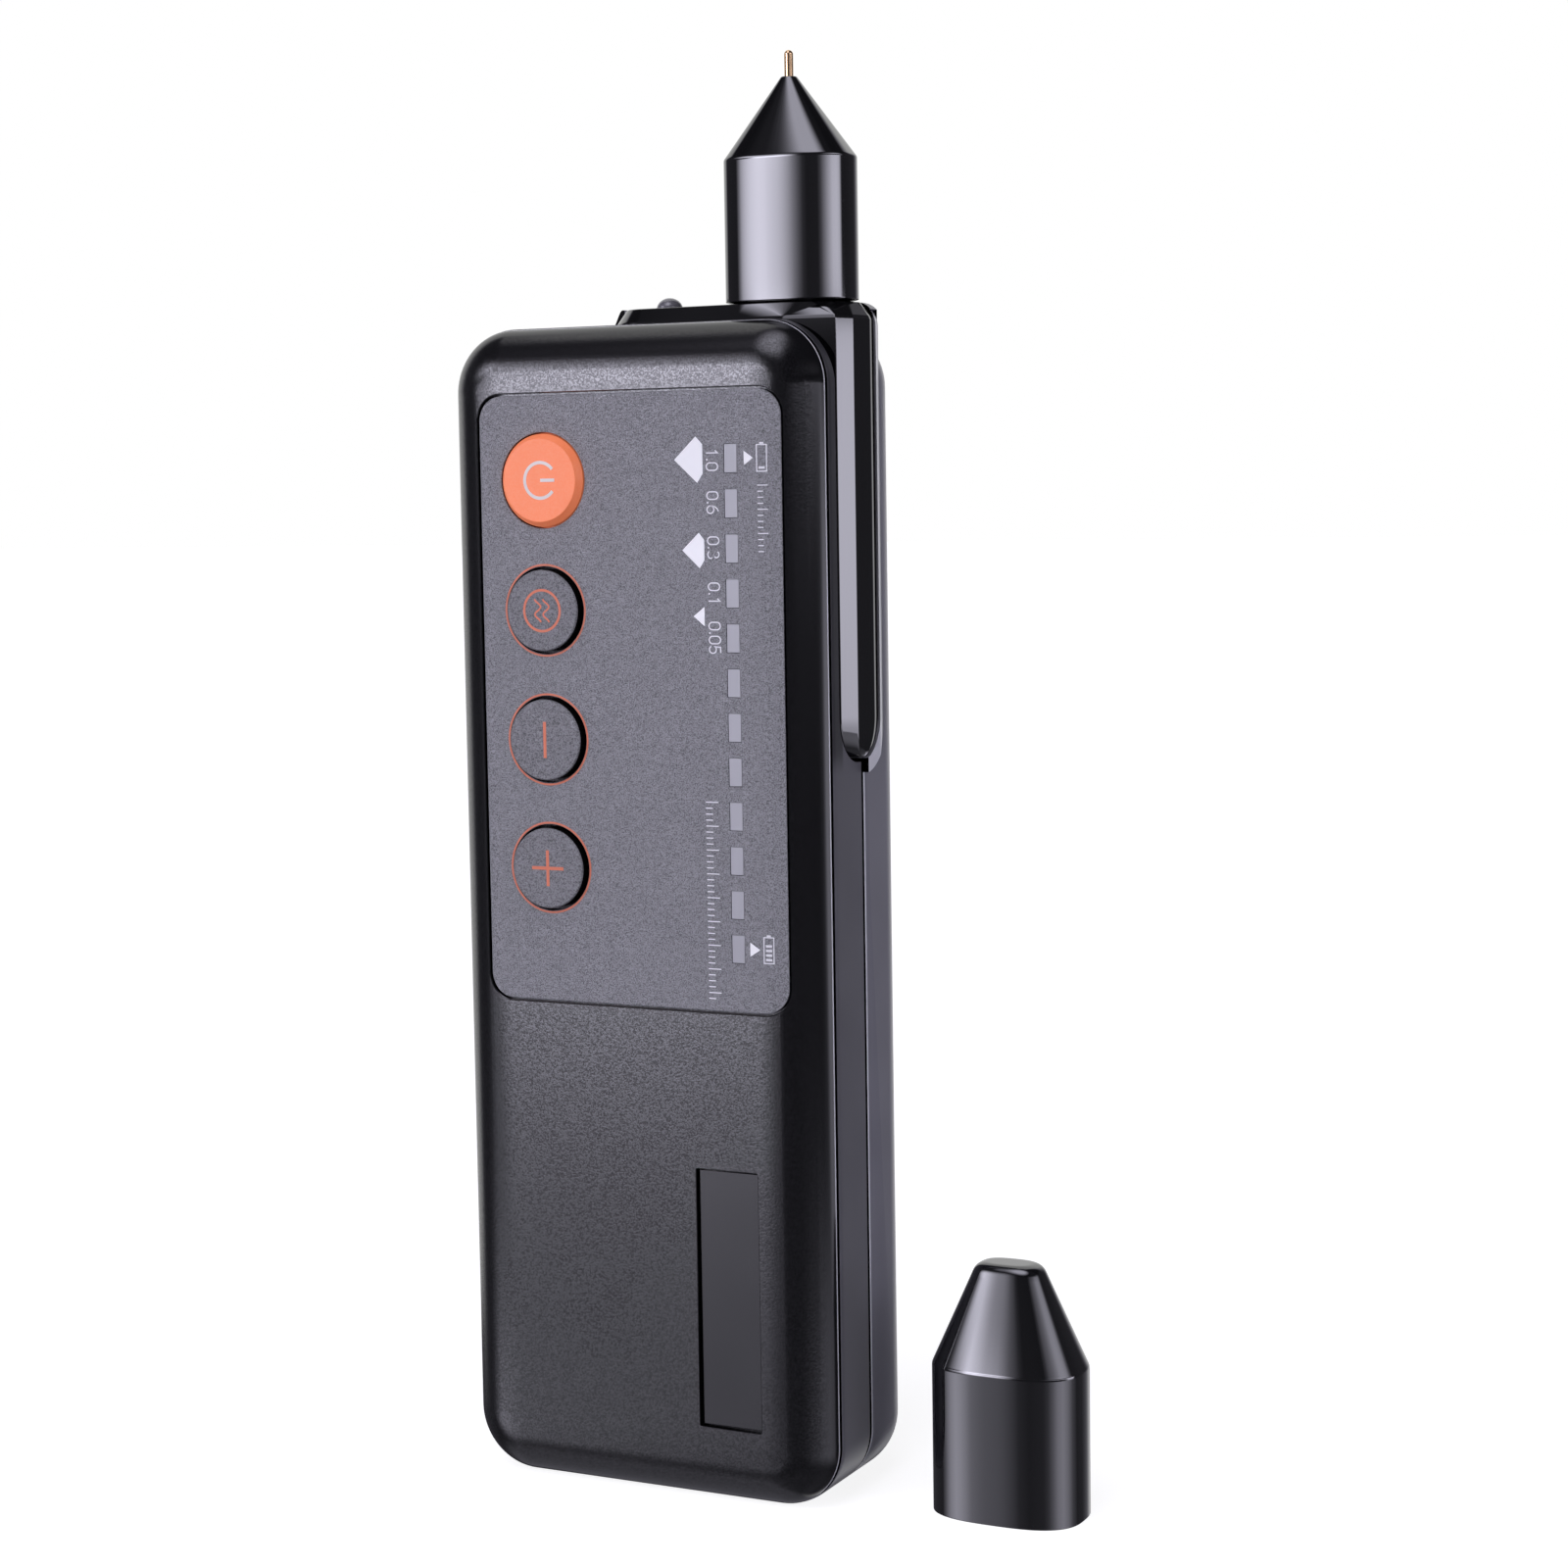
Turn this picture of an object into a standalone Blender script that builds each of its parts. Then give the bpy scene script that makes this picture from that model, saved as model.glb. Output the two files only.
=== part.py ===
"""Diamond tester: a pocket gem tester with a sprung probe, four buttons and a separate cap.

Metres, +Z up. The tester stands on its base, with the origin under the middle of its width.
The front face looks towards -Y, and +X is to the right of someone who faces it.
"""

from math import cos, hypot, pi, radians, sin

import bmesh
import bpy
import numpy as np
from mathutils import Matrix, Vector

# Fits
GAP = 0.0003
FINE_GAP = 0.00015
OVERRUN = 0.001

# Degrees between two faces from which their edge shows as a crease
SHARP_ANGLE = 20

# Case
CASE_WIDTH = 0.0423
CASE_HEIGHT = 0.1200
FRONT_Y = -0.01145
FRONT_COVER_DEPTH = 0.00315
MID_FRAME_DEPTH = 0.00713
REAR_COVER_DEPTH = 0.01042
CORNER_RADIUS = 0.0066
FRONT_FILLET = 0.0045
REAR_FILLET = 0.0050
WALL = 0.0016
CORNER_STEPS = 8
FILLET_STEPS = 6

# Case screws and the posts that take them
SCREW_SIDE_MARGIN = 0.00455
SCREW_LOW_MARGIN = 0.0100
SCREW_MID_DROP = 0.0520
SCREW_TOP_MARGIN = 0.0110
SCREW_RADIUS = 0.0010
SCREW_LENGTH = 0.0120
SCREW_HEAD_RADIUS = 0.0021
SCREW_HEAD_HEIGHT = 0.0014
SCREW_HEAD_CLEARANCE = 0.0004
SCREW_CROSS_WIDTH = 0.0006
SCREW_CROSS_LENGTH = 0.0024
SCREW_CROSS_CORNER = 0.0004
SCREW_CROSS_DEPTH = 0.0008
SCREW_SEAT_DEPTH = 0.0035
SCREW_TIP_CLEARANCE = 0.0008
POST_RADIUS = 0.0022
BOSS_RADIUS = 0.0032
POST_ROOT = 0.0005

# Overlay panel
PANEL_LEFT_MARGIN = 0.00439
PANEL_RIGHT_MARGIN = 0.00355
PANEL_TOP_MARGIN = 0.00695
PANEL_HEIGHT = 0.06188
PANEL_CORNER = 0.0026
PANEL_THICKNESS = 0.0005
PANEL_SINK = 0.00012

# Buttons and their switches
BUTTON_SIDE_MARGIN = 0.01186
BUTTON_TOP_MARGIN = 0.01554
BUTTON_PITCH = 0.01318
BUTTON_RADIUS = 0.00415
POWER_RADIUS = 0.0047
POWER_FACE_RADIUS = 0.00420
BUTTON_RISE = 0.0006
BUTTON_EDGE = 0.00012
BUTTON_FLANGE_WIDTH = 0.00085
BUTTON_FLANGE_THICKNESS = 0.0006
BUTTON_TRAVEL = 0.00025
SWITCH_WIDTH = 0.0060
SWITCH_PLUNGER_RADIUS = 0.0015
SWITCH_PLUNGER_HEIGHT = 0.0003

# Signal windows and their LEDs
WINDOW_COUNT = 12
WINDOW_SIDE_MARGIN = 0.00901
WINDOW_TOP_MARGIN = 0.01372
WINDOW_PITCH = 0.004432
WINDOW_WIDTH = 0.00145
WINDOW_HEIGHT = 0.00285
GUIDE_BAR_THICKNESS = 0.0008
GUIDE_BAR_OVERHANG = 0.0010
LED_WIDTH = 0.0016
LED_HEIGHT = 0.0020
LED_THICKNESS = 0.0007
LED_EDGE = 0.0001

# Name plate
PLATE_SIDE_MARGIN = 0.00745
PLATE_WIDTH = 0.0066
PLATE_BOTTOM_MARGIN = 0.0084
PLATE_TOP_CLEARANCE = 0.01647
PLATE_SINK = 0.0005
PLATE_THICKNESS = 0.0003

# Probe holder: a plate across the top of the case, and a tongue down its right side
HOLDER_Y = -0.0015
HOLDER_HALF_DEPTH = 0.0042
HOLDER_LENGTH = 0.0277
HOLDER_SIDE_RISE = 0.00135
HOLDER_CROWN = 0.0032
HOLDER_TOP_RISE = 0.00168
HOLDER_CHAMFER_WIDTH = 0.0011
HOLDER_CHAMFER_HEIGHT = 0.0014
HOLDER_SLAB_THICKNESS = 0.00508
HOLDER_FLANGE_REACH = 0.0011
HOLDER_FLANGE_THICKNESS = 0.0013
HOLDER_FLANGE_MARGIN = 0.00565
TONGUE_DROP = 0.0438
TONGUE_TIP_RISE = 0.0004
TONGUE_THICKNESS = 0.0038
TONGUE_STEPS = 7
CROWN_POWER = 3.2

# Collar of the rear cover, which backs the probe holder
COLLAR_WIDTH = 0.0014
COLLAR_RISE = 0.0004
COLLAR_TOP_RISE = 0.0019
COLLAR_RAMP_WIDTH = 0.0013
COLLAR_CORNER = 0.0025

# Probe
PROBE_SIDE_MARGIN = 0.0081
OVAL_POWER = 2.8
OVAL_STEPS = 48
NOSE_HALF_WIDTH = 0.00678
NOSE_HALF_DEPTH = 0.0042
NOSE_BARREL_HEIGHT = 0.01408
NOSE_CONE_HEIGHT = 0.00804
NOSE_TOP_RADIUS = 0.0008
NOSE_SPIGOT_RADIUS = 0.0025
NOSE_SPIGOT_LENGTH = 0.00568
NOSE_BORE_RADIUS = 0.0018
NOSE_TIP_LENGTH = 0.0056
NEEDLE_RADIUS = 0.00045
NEEDLE_REACH = 0.00265
NEEDLE_COLLAR_RADIUS = 0.0015
NEEDLE_COLLAR_THICKNESS = 0.0010
NEEDLE_TAIL_RADIUS = 0.0005
NEEDLE_TAIL_LENGTH = 0.0112
NEEDLE_TRAVEL = 0.0015
PLUG_CLEARANCE = 0.0010
PLUG_FLANGE_THICKNESS = 0.0015
SPRING_WIRE_RADIUS = 0.0002
SPRING_MEAN_RADIUS = 0.0012
SPRING_TURNS = 9
SPRING_POINTS_A_TURN = 10

# Lamp
LAMP_END_MARGIN = 0.00565
LAMP_RADIUS = 0.00135
LAMP_DOME_HEIGHT = 0.00117
LAMP_FLANGE_RADIUS = 0.0018
LAMP_FLANGE_THICKNESS = 0.0009

# Main board and what it carries
BOARD_FRONT_Y = -0.0072
BOARD_THICKNESS = 0.0012
BOARD_SIDE_MARGIN = 0.00095
BOARD_BOTTOM_MARGIN = 0.0022
BOARD_TOP_MARGIN = 0.0060
BOARD_CORNER = 0.0044
SWITCH_BODY_THICKNESS = 0.00085
CHIP_SIDE_MARGIN = 0.01915
CHIP_DROP = 0.0440
CHIP_WIDTH = 0.0070
CHIP_THICKNESS = 0.0011
CHIP_EDGE = 0.0002
BUZZER_SIDE_MARGIN = 0.01265
BUZZER_DROP = 0.0240
BUZZER_RADIUS = 0.0050
BUZZER_HEIGHT = 0.0035
BUZZER_HOLE_RADIUS = 0.0010
BUZZER_HOLE_DEPTH = 0.0012
BUZZER_EDGE = 0.0003

# Battery
CELL_WIDTH = 0.0260
CELL_HEIGHT = 0.0400
CELL_THICKNESS = 0.0060
CELL_BOTTOM_MARGIN = 0.0160
CELL_EDGE = 0.0010
PAD_THICKNESS = 0.0010
PAD_MARGIN = 0.0020

# Charging socket
SOCKET_SIDE_MARGIN = 0.01215
SOCKET_WIDTH = 0.0090
SOCKET_DEPTH = 0.0032
SOCKET_LENGTH = 0.0073
SOCKET_BOTTOM_Z = 0.0004
SOCKET_WALL = 0.00035
SOCKET_MOUTH_LENGTH = 0.0062
SOCKET_TONGUE_WIDTH = 0.0066
SOCKET_TONGUE_THICKNESS = 0.0007
SOCKET_TONGUE_LENGTH = 0.0050

# Leads
LEAD_RADIUS = 0.0005
LEAD_STEPS = 5
BATTERY_LEAD_X = -0.0030
BATTERY_LEAD_DROP = 0.0085
PROBE_LEAD_DROP = 0.0095
LAMP_LEAD_DROP = 0.0070
LEAD_LIFT = 0.0025

# Cap, standing beside the tester
CAP_DISTANCE = 0.0154
CAP_Y = -0.0005
CAP_WALL = 0.00075
CAP_CLEARANCE = 0.00036
CAP_BARREL_HEIGHT = 0.01524
CAP_CONE_HEIGHT = 0.01036
CAP_TOP_HALF_WIDTH = 0.0033
CAP_TOP_HALF_DEPTH = 0.0020
CAP_TOP_ROUND = 0.00035
CAP_ROOF = 0.00055

# Faces and places that follow from the sizes above
COVER_END_Y = FRONT_Y + FRONT_COVER_DEPTH
FRAME_FRONT_Y = COVER_END_Y + GAP
FRAME_REAR_Y = FRAME_FRONT_Y + MID_FRAME_DEPTH
REAR_START_Y = FRAME_REAR_Y + GAP
REAR_Y = REAR_START_Y + REAR_COVER_DEPTH
INNER_FRONT_Y = FRONT_Y + WALL
INNER_REAR_Y = REAR_Y - WALL
SIDE_X = CASE_WIDTH / 2
BOARD_REAR_Y = BOARD_FRONT_Y + BOARD_THICKNESS
REAR_MOUNT_Y = BOARD_REAR_Y + GAP
FRONT_MOUNT_Y = BOARD_FRONT_Y - GAP
SCREW_SEAT_Y = REAR_Y - SCREW_SEAT_DEPTH
PANEL_FACE_Y = FRONT_Y + PANEL_SINK
PANEL_REAR_Y = PANEL_FACE_Y + PANEL_THICKNESS
SCREW_X = SIDE_X - SCREW_SIDE_MARGIN
SCREW_PLACES = (
    (-SCREW_X, SCREW_LOW_MARGIN),
    (SCREW_X, SCREW_LOW_MARGIN),
    (SCREW_X, CASE_HEIGHT - SCREW_MID_DROP),
    (-SCREW_X, CASE_HEIGHT - SCREW_TOP_MARGIN),
)
PANEL_LEFT_X = PANEL_LEFT_MARGIN - SIDE_X
PANEL_RIGHT_X = SIDE_X - PANEL_RIGHT_MARGIN
PANEL_TOP_Z = CASE_HEIGHT - PANEL_TOP_MARGIN
PANEL_BOTTOM_Z = PANEL_TOP_Z - PANEL_HEIGHT
PLATE_RIGHT_X = SIDE_X - PLATE_SIDE_MARGIN
PLATE_LEFT_X = PLATE_RIGHT_X - PLATE_WIDTH
PLATE_TOP_Z = PANEL_BOTTOM_Z - PLATE_TOP_CLEARANCE
BUTTON_X = BUTTON_SIDE_MARGIN - SIDE_X
BUTTON_TOP_Z = CASE_HEIGHT - BUTTON_TOP_MARGIN
BUTTON_NAMES = ("power", "mode", "minus", "plus")
BUTTON_PLACES = {name: BUTTON_TOP_Z - BUTTON_PITCH * index for index, name in enumerate(BUTTON_NAMES)}
WINDOW_X = SIDE_X - WINDOW_SIDE_MARGIN
WINDOW_TOP_Z = CASE_HEIGHT - WINDOW_TOP_MARGIN
WINDOW_PLACES = [WINDOW_TOP_Z - WINDOW_PITCH * index for index in range(WINDOW_COUNT)]
HOLDER_RIGHT_X = SIDE_X + HOLDER_SIDE_RISE
HOLDER_LEFT_X = HOLDER_RIGHT_X - HOLDER_LENGTH
HOLDER_TOP_Z = CASE_HEIGHT + HOLDER_TOP_RISE
HOLDER_SLAB_BOTTOM_Z = HOLDER_TOP_Z - HOLDER_SLAB_THICKNESS
TONGUE_TIP_Z = CASE_HEIGHT - TONGUE_DROP
COLLAR_TOP_Z = CASE_HEIGHT + COLLAR_TOP_RISE
PROBE_X = HOLDER_RIGHT_X - PROBE_SIDE_MARGIN
LAMP_X = HOLDER_LEFT_X + LAMP_END_MARGIN
NOSE_SEAT_Z = HOLDER_TOP_Z + GAP
NOSE_SHOULDER_Z = NOSE_SEAT_Z + NOSE_BARREL_HEIGHT
NOSE_TOP_Z = NOSE_SHOULDER_Z + NOSE_CONE_HEIGHT
NOSE_SPIGOT_BOTTOM_Z = HOLDER_TOP_Z - NOSE_SPIGOT_LENGTH
NOSE_BORE_TOP_Z = NOSE_TOP_Z - NOSE_TIP_LENGTH
NEEDLE_TOP_Z = NOSE_TOP_Z + NEEDLE_REACH
NEEDLE_COLLAR_TOP_Z = NOSE_BORE_TOP_Z - GAP
NEEDLE_COLLAR_BOTTOM_Z = NEEDLE_COLLAR_TOP_Z - NEEDLE_COLLAR_THICKNESS
NEEDLE_TAIL_Z = NEEDLE_COLLAR_BOTTOM_Z - NEEDLE_TAIL_LENGTH
PLUG_TOP_Z = NEEDLE_TAIL_Z - NEEDLE_TRAVEL - PLUG_CLEARANCE
BOARD_TOP_Z = CASE_HEIGHT - BOARD_TOP_MARGIN
BUZZER_X = BUZZER_SIDE_MARGIN - SIDE_X
SOCKET_X = SOCKET_SIDE_MARGIN - SIDE_X
CHIP_X = SIDE_X - CHIP_SIDE_MARGIN
CAP_X = SIDE_X + CAP_DISTANCE
CAP_HEIGHT = CAP_BARREL_HEIGHT + CAP_CONE_HEIGHT

# Colour, roughness and metallic value of each finish
FINISHES = {
    "grained_charcoal": ((0.030, 0.030, 0.034), 0.55, 0.0),
    "smooth_charcoal": ((0.045, 0.045, 0.050), 0.35, 0.0),
    "panel_grey": ((0.075, 0.076, 0.084), 0.60, 0.0),
    "gloss_black": ((0.008, 0.008, 0.009), 0.12, 0.0),
    "smooth_dark": ((0.035, 0.034, 0.037), 0.40, 0.0),
    "orange": ((0.86, 0.15, 0.035), 0.45, 0.0),
    "window_grey": ((0.30, 0.30, 0.33), 0.30, 0.0),
    "smoked_lens": ((0.10, 0.10, 0.11), 0.15, 0.0),
    "copper": ((0.72, 0.42, 0.20), 0.25, 1.0),
    "steel": ((0.50, 0.50, 0.52), 0.35, 1.0),
    "board_green": ((0.02, 0.10, 0.05), 0.50, 0.0),
    "led_white": ((0.75, 0.73, 0.60), 0.40, 0.0),
    "cell_silver": ((0.55, 0.55, 0.58), 0.40, 0.6),
    "foam": ((0.06, 0.06, 0.06), 0.95, 0.0),
    "lead_red": ((0.45, 0.03, 0.03), 0.50, 0.0),
}


def start_scene():
    """Empties the scene, and returns the collections of the parts and of their cutters."""
    for found in list(bpy.data.objects):
        bpy.data.objects.remove(found, do_unlink=True)
    made = []
    for name in ("diamond_tester", "cutters"):
        collection = bpy.data.collections.new(name)
        bpy.context.scene.collection.children.link(collection)
        made.append(collection)
    return made


PARTS, CUTTERS = start_scene()


def finish(name):
    """The material of this name, made on its first use."""
    material = bpy.data.materials.get(name)
    if material is None:
        colour, roughness, metallic = FINISHES[name]
        material = bpy.data.materials.new(name)
        material.use_nodes = True
        shader = material.node_tree.nodes["Principled BSDF"]
        shader.inputs["Base Color"].default_value = (*colour, 1.0)
        shader.inputs["Roughness"].default_value = roughness
        shader.inputs["Metallic"].default_value = metallic
    return material


def add_part(name, mesh, finish_name, place=(0, 0, 0), turn=(0, 0, 0)):
    """A part of the tester, with its own copy of the finish."""
    part = bpy.data.objects.new(name, mesh)
    own = finish(finish_name).copy()
    own.name = f"{name}_{finish_name}"
    mesh.materials.clear()
    mesh.materials.append(own)
    mesh.shade_smooth()
    mesh.set_sharp_from_angle(angle=radians(SHARP_ANGLE))
    part.location = place
    part.rotation_euler = turn
    PARTS.objects.link(part)
    return part


def add_cutter(name, mesh, place=(0, 0, 0), turn=(0, 0, 0)):
    """A helper that cuts or joins a part, and isn't a part itself."""
    cutter = bpy.data.objects.new(name, mesh)
    cutter.location = place
    cutter.rotation_euler = turn
    cutter.hide_render = True
    cutter.display_type = "WIRE"
    CUTTERS.objects.link(cutter)
    return cutter


def combine(target, helper, operation):
    """Cuts the helper from the target, or joins it, with a live Boolean."""
    boolean = target.modifiers.new(f"{operation.lower()}_{helper.name}", "BOOLEAN")
    boolean.operation = operation
    boolean.solver = "EXACT"
    boolean.object = helper
    return target


def mesh_from(bm, name):
    """A mesh with its faces pointing out, from a bmesh that is then freed."""
    bmesh.ops.recalc_face_normals(bm, faces=bm.faces)
    mesh = bpy.data.meshes.new(name)
    bm.to_mesh(mesh)
    bm.free()
    return mesh


def block(name, low, high, edge=0.0):
    """A box between two corners, with its edges broken by a flat of the given width."""
    low = Vector(low)
    high = Vector(high)
    size = high - low
    bm = bmesh.new()
    placed = Matrix.Translation((low + high) / 2) @ Matrix.Diagonal((*size, 1))
    bmesh.ops.create_cube(bm, size=1, matrix=placed)
    if edge:
        bmesh.ops.bevel(bm, geom=bm.edges, offset=edge, segments=1, affect="EDGES")
    return mesh_from(bm, name)


def rod(name, radius, low, high, steps=32):
    """A cylinder along the local Z axis, from low to high."""
    bm = bmesh.new()
    placed = Matrix.Translation((0, 0, (low + high) / 2))
    bmesh.ops.create_cone(
        bm, cap_ends=True, segments=steps, radius1=radius, radius2=radius, depth=high - low, matrix=placed
    )
    return mesh_from(bm, name)


def turned(name, profile, steps=32):
    """A turned mesh about the local Z axis; the profile holds radius and height, top to bottom."""
    line = bpy.data.meshes.new(name)
    points = [(radius, 0, height) for radius, height in profile]
    line.from_pydata(points, [(index, index + 1) for index in range(len(points) - 1)], [])
    holder = bpy.data.objects.new(name, line)
    CUTTERS.objects.link(holder)
    screw = holder.modifiers.new("turn", "SCREW")
    screw.axis = "Z"
    screw.steps = steps
    screw.render_steps = steps
    screw.use_merge_vertices = True
    screw.merge_threshold = SPRING_WIRE_RADIUS / steps
    return baked(holder, name)


def baked(holder, name):
    """The mesh that an object's curve or modifiers make, with its caps welded; the object goes."""
    graph = bpy.context.evaluated_depsgraph_get()
    mesh = bpy.data.meshes.new_from_object(holder.evaluated_get(graph))
    mesh.name = name
    bpy.data.objects.remove(holder, do_unlink=True)
    bm = bmesh.new()
    bm.from_mesh(mesh)
    bmesh.ops.remove_doubles(bm, verts=bm.verts, dist=SPRING_WIRE_RADIUS / SPRING_POINTS_A_TURN**2)
    bmesh.ops.recalc_face_normals(bm, faces=bm.faces)
    bm.to_mesh(mesh)
    bm.free()
    return mesh


# How an outline's two directions and its thickness lie in the tester: front, side and plan
PLANES = {
    "front": Matrix(((1, 0, 0, 0), (0, 0, -1, 0), (0, 1, 0, 0), (0, 0, 0, 1))),
    "side": Matrix(((0, 0, 1, 0), (1, 0, 0, 0), (0, 1, 0, 0), (0, 0, 0, 1))),
    "plan": Matrix.Identity(4),
}


def slab(name, outline, low, high, plane):
    """A flat outline given thickness from low to high, across the named plane."""
    flat = bpy.data.curves.new(name, "CURVE")
    flat.dimensions = "2D"
    flat.fill_mode = "BOTH"
    flat.extrude = (high - low) / 2
    line = flat.splines.new("POLY")
    line.points.add(len(outline) - 1)
    for point, (across, along) in zip(line.points, outline):
        point.co = (across, along, 0, 1)
    line.use_cyclic_u = True
    holder = bpy.data.objects.new(name, flat)
    CUTTERS.objects.link(holder)
    mesh = baked(holder, name)
    middle = (low + high) / 2
    offset = {"front": (0, middle, 0), "side": (middle, 0, 0), "plan": (0, 0, middle)}[plane]
    mesh.transform(Matrix.Translation(offset) @ PLANES[plane])
    return mesh


def arc(centre, radius, start, stop, steps):
    """Points on an arc, between two angles in degrees."""
    turns = np.radians(np.linspace(start, stop, steps + 1))
    return [(centre[0] + radius * cos(turn), centre[1] + radius * sin(turn)) for turn in turns]


def rounded(left, right, bottom, top, radius, steps=CORNER_STEPS):
    """The outline of a rectangle with round corners."""
    centres = (
        (right - radius, top - radius),
        (left + radius, top - radius),
        (left + radius, bottom + radius),
        (right - radius, bottom + radius),
    )
    points = []
    for corner, centre in enumerate(centres):
        points += arc(centre, radius, 90 * corner, 90 * corner + 90, steps)
    return points


def oval(half_width, half_depth, height, power=OVAL_POWER, steps=OVAL_STEPS):
    """A ring of points on a superellipse, at one height."""
    turns = np.linspace(0, 2 * pi, steps, endpoint=False)
    across = np.cos(turns)
    along = np.sin(turns)
    ring = np.zeros((steps, 3))
    ring[:, 0] = half_width * np.sign(across) * np.abs(across) ** (2 / power)
    ring[:, 1] = half_depth * np.sign(along) * np.abs(along) ** (2 / power)
    ring[:, 2] = height
    return ring


def loft(name, rings):
    """A closed skin over rings of equal count, with a flat cap at each end."""
    count = len(rings[0])
    points = np.concatenate(rings)
    faces = [list(range(count))[::-1], [len(points) - count + index for index in range(count)]]
    for level in range(len(rings) - 1):
        low = level * count
        for index in range(count):
            after = (index + 1) % count
            faces.append((low + index, low + after, low + count + after, low + count + index))
    mesh = bpy.data.meshes.new(name)
    mesh.from_pydata(points.tolist(), [], faces)
    bm = bmesh.new()
    bm.from_mesh(mesh)
    bpy.data.meshes.remove(mesh)
    return mesh_from(bm, name)


# Case


def round_edges(bm, chosen, radius, steps):
    """Rounds the chosen edges to a quarter circle."""
    bmesh.ops.bevel(
        bm,
        geom=[edge for edge in bm.edges if chosen(edge)],
        offset=radius,
        offset_type="OFFSET",
        segments=steps,
        profile=0.5,
        affect="EDGES",
    )


def case_form(name, inset):
    """The whole outer form of the case, drawn in on every side by the inset."""
    bm = bmesh.new()
    size = Vector((CASE_WIDTH, REAR_Y - FRONT_Y, CASE_HEIGHT)) - Vector((1, 1, 1)) * 2 * inset
    middle = Vector((0, (FRONT_Y + REAR_Y) / 2, CASE_HEIGHT / 2))
    bmesh.ops.create_cube(bm, size=1, matrix=Matrix.Translation(middle) @ Matrix.Diagonal((*size, 1)))

    def runs_through(edge):
        start, end = edge.verts
        return abs(start.co.y - end.co.y) > size.y / 2

    def lies_at(face_y):
        return lambda edge: all(abs(vert.co.y - face_y) < GAP * GAP for vert in edge.verts)

    round_edges(bm, runs_through, CORNER_RADIUS - inset, CORNER_STEPS)
    round_edges(bm, lies_at(FRONT_Y + inset), FRONT_FILLET - inset, FILLET_STEPS)
    round_edges(bm, lies_at(REAR_Y - inset), REAR_FILLET - inset, FILLET_STEPS)
    return mesh_from(bm, name)


def half_space(name, near, far):
    """A block wider than the case, between two depths."""
    low = (-CASE_WIDTH, near, -CORNER_RADIUS)
    high = (CASE_WIDTH, far, CASE_HEIGHT + CORNER_RADIUS)
    return add_cutter(name, block(name, low, high))


def behind(name, depth):
    return half_space(name, depth, REAR_Y + REAR_FILLET)


def before(name, depth):
    return half_space(name, FRONT_Y - FRONT_FILLET, depth)


def round_hole(name, radius, across, height, near, far, steps=32):
    """A round cutter along the depth of the case, between the depths near and far."""
    return add_cutter(name, rod(name, radius, -far, -near, steps), (across, 0, height), (pi / 2, 0, 0))


def panel_outline(grow=0.0):
    return rounded(
        PANEL_LEFT_X - grow,
        PANEL_RIGHT_X + grow,
        PANEL_BOTTOM_Z - grow,
        PANEL_TOP_Z + grow,
        PANEL_CORNER + grow,
    )


def window_cutters(piece):
    """A slot for each signal window, through the panel and the cover."""
    cutters = []
    for index, height in enumerate(WINDOW_PLACES):
        name = f"{piece}_window_{index + 1:02d}"
        half_width = WINDOW_WIDTH / 2 + FINE_GAP
        half_height = WINDOW_HEIGHT / 2 + FINE_GAP
        low = (WINDOW_X - half_width, FRONT_Y - OVERRUN, height - half_height)
        high = (WINDOW_X + half_width, INNER_FRONT_Y + OVERRUN, height + half_height)
        cutters.append(add_cutter(name, block(name, low, high)))
    return cutters


def button_radius(name):
    return POWER_RADIUS if name == "power" else BUTTON_RADIUS


def button_gap(name):
    return FINE_GAP if name == "power" else GAP


def button_cutters(piece):
    """A round hole for each button, through the panel and the cover."""
    cutters = []
    for name, height in BUTTON_PLACES.items():
        radius = button_radius(name) + button_gap(name)
        hole = f"{piece}_{name}_hole"
        near = FRONT_Y - OVERRUN
        cutters.append(round_hole(hole, radius, BUTTON_X, height, near, INNER_FRONT_Y + OVERRUN, 40))
    return cutters


def make_front_cover():
    cover = add_part("front_cover", case_form("front_cover", 0), "grained_charcoal")
    combine(cover, add_cutter("front_hollow", case_form("front_hollow", WALL)), "DIFFERENCE")
    combine(cover, behind("behind_front_cover", COVER_END_Y), "DIFFERENCE")
    for index, (across, height) in enumerate(SCREW_PLACES):
        start = INNER_FRONT_Y - POST_ROOT
        post = round_hole(f"front_post_{index + 1}", POST_RADIUS, across, height, start, FRAME_REAR_Y, 24)
        combine(cover, post, "UNION")
    for index, (across, height) in enumerate(SCREW_PLACES):
        tip = SCREW_SEAT_Y + GAP - SCREW_LENGTH - SCREW_TIP_CLEARANCE
        end = FRAME_REAR_Y + OVERRUN
        pilot = round_hole(f"pilot_hole_{index + 1}", SCREW_RADIUS + GAP, across, height, tip, end, 16)
        combine(cover, pilot, "DIFFERENCE")
    floor = PANEL_REAR_Y + FINE_GAP
    recess = slab("panel_recess", panel_outline(FINE_GAP), FRONT_Y - OVERRUN, floor, "front")
    combine(cover, add_cutter("panel_recess", recess), "DIFFERENCE")
    for cutter in button_cutters("cover") + window_cutters("cover"):
        combine(cover, cutter, "DIFFERENCE")
    low = (PLATE_LEFT_X - FINE_GAP, FRONT_Y - OVERRUN, PLATE_BOTTOM_MARGIN - FINE_GAP)
    deep = FRONT_Y + PLATE_SINK + PLATE_THICKNESS + FINE_GAP
    high = (PLATE_RIGHT_X + FINE_GAP, deep, PLATE_TOP_Z + FINE_GAP)
    combine(cover, add_cutter("plate_recess", block("plate_recess", low, high)), "DIFFERENCE")


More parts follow.
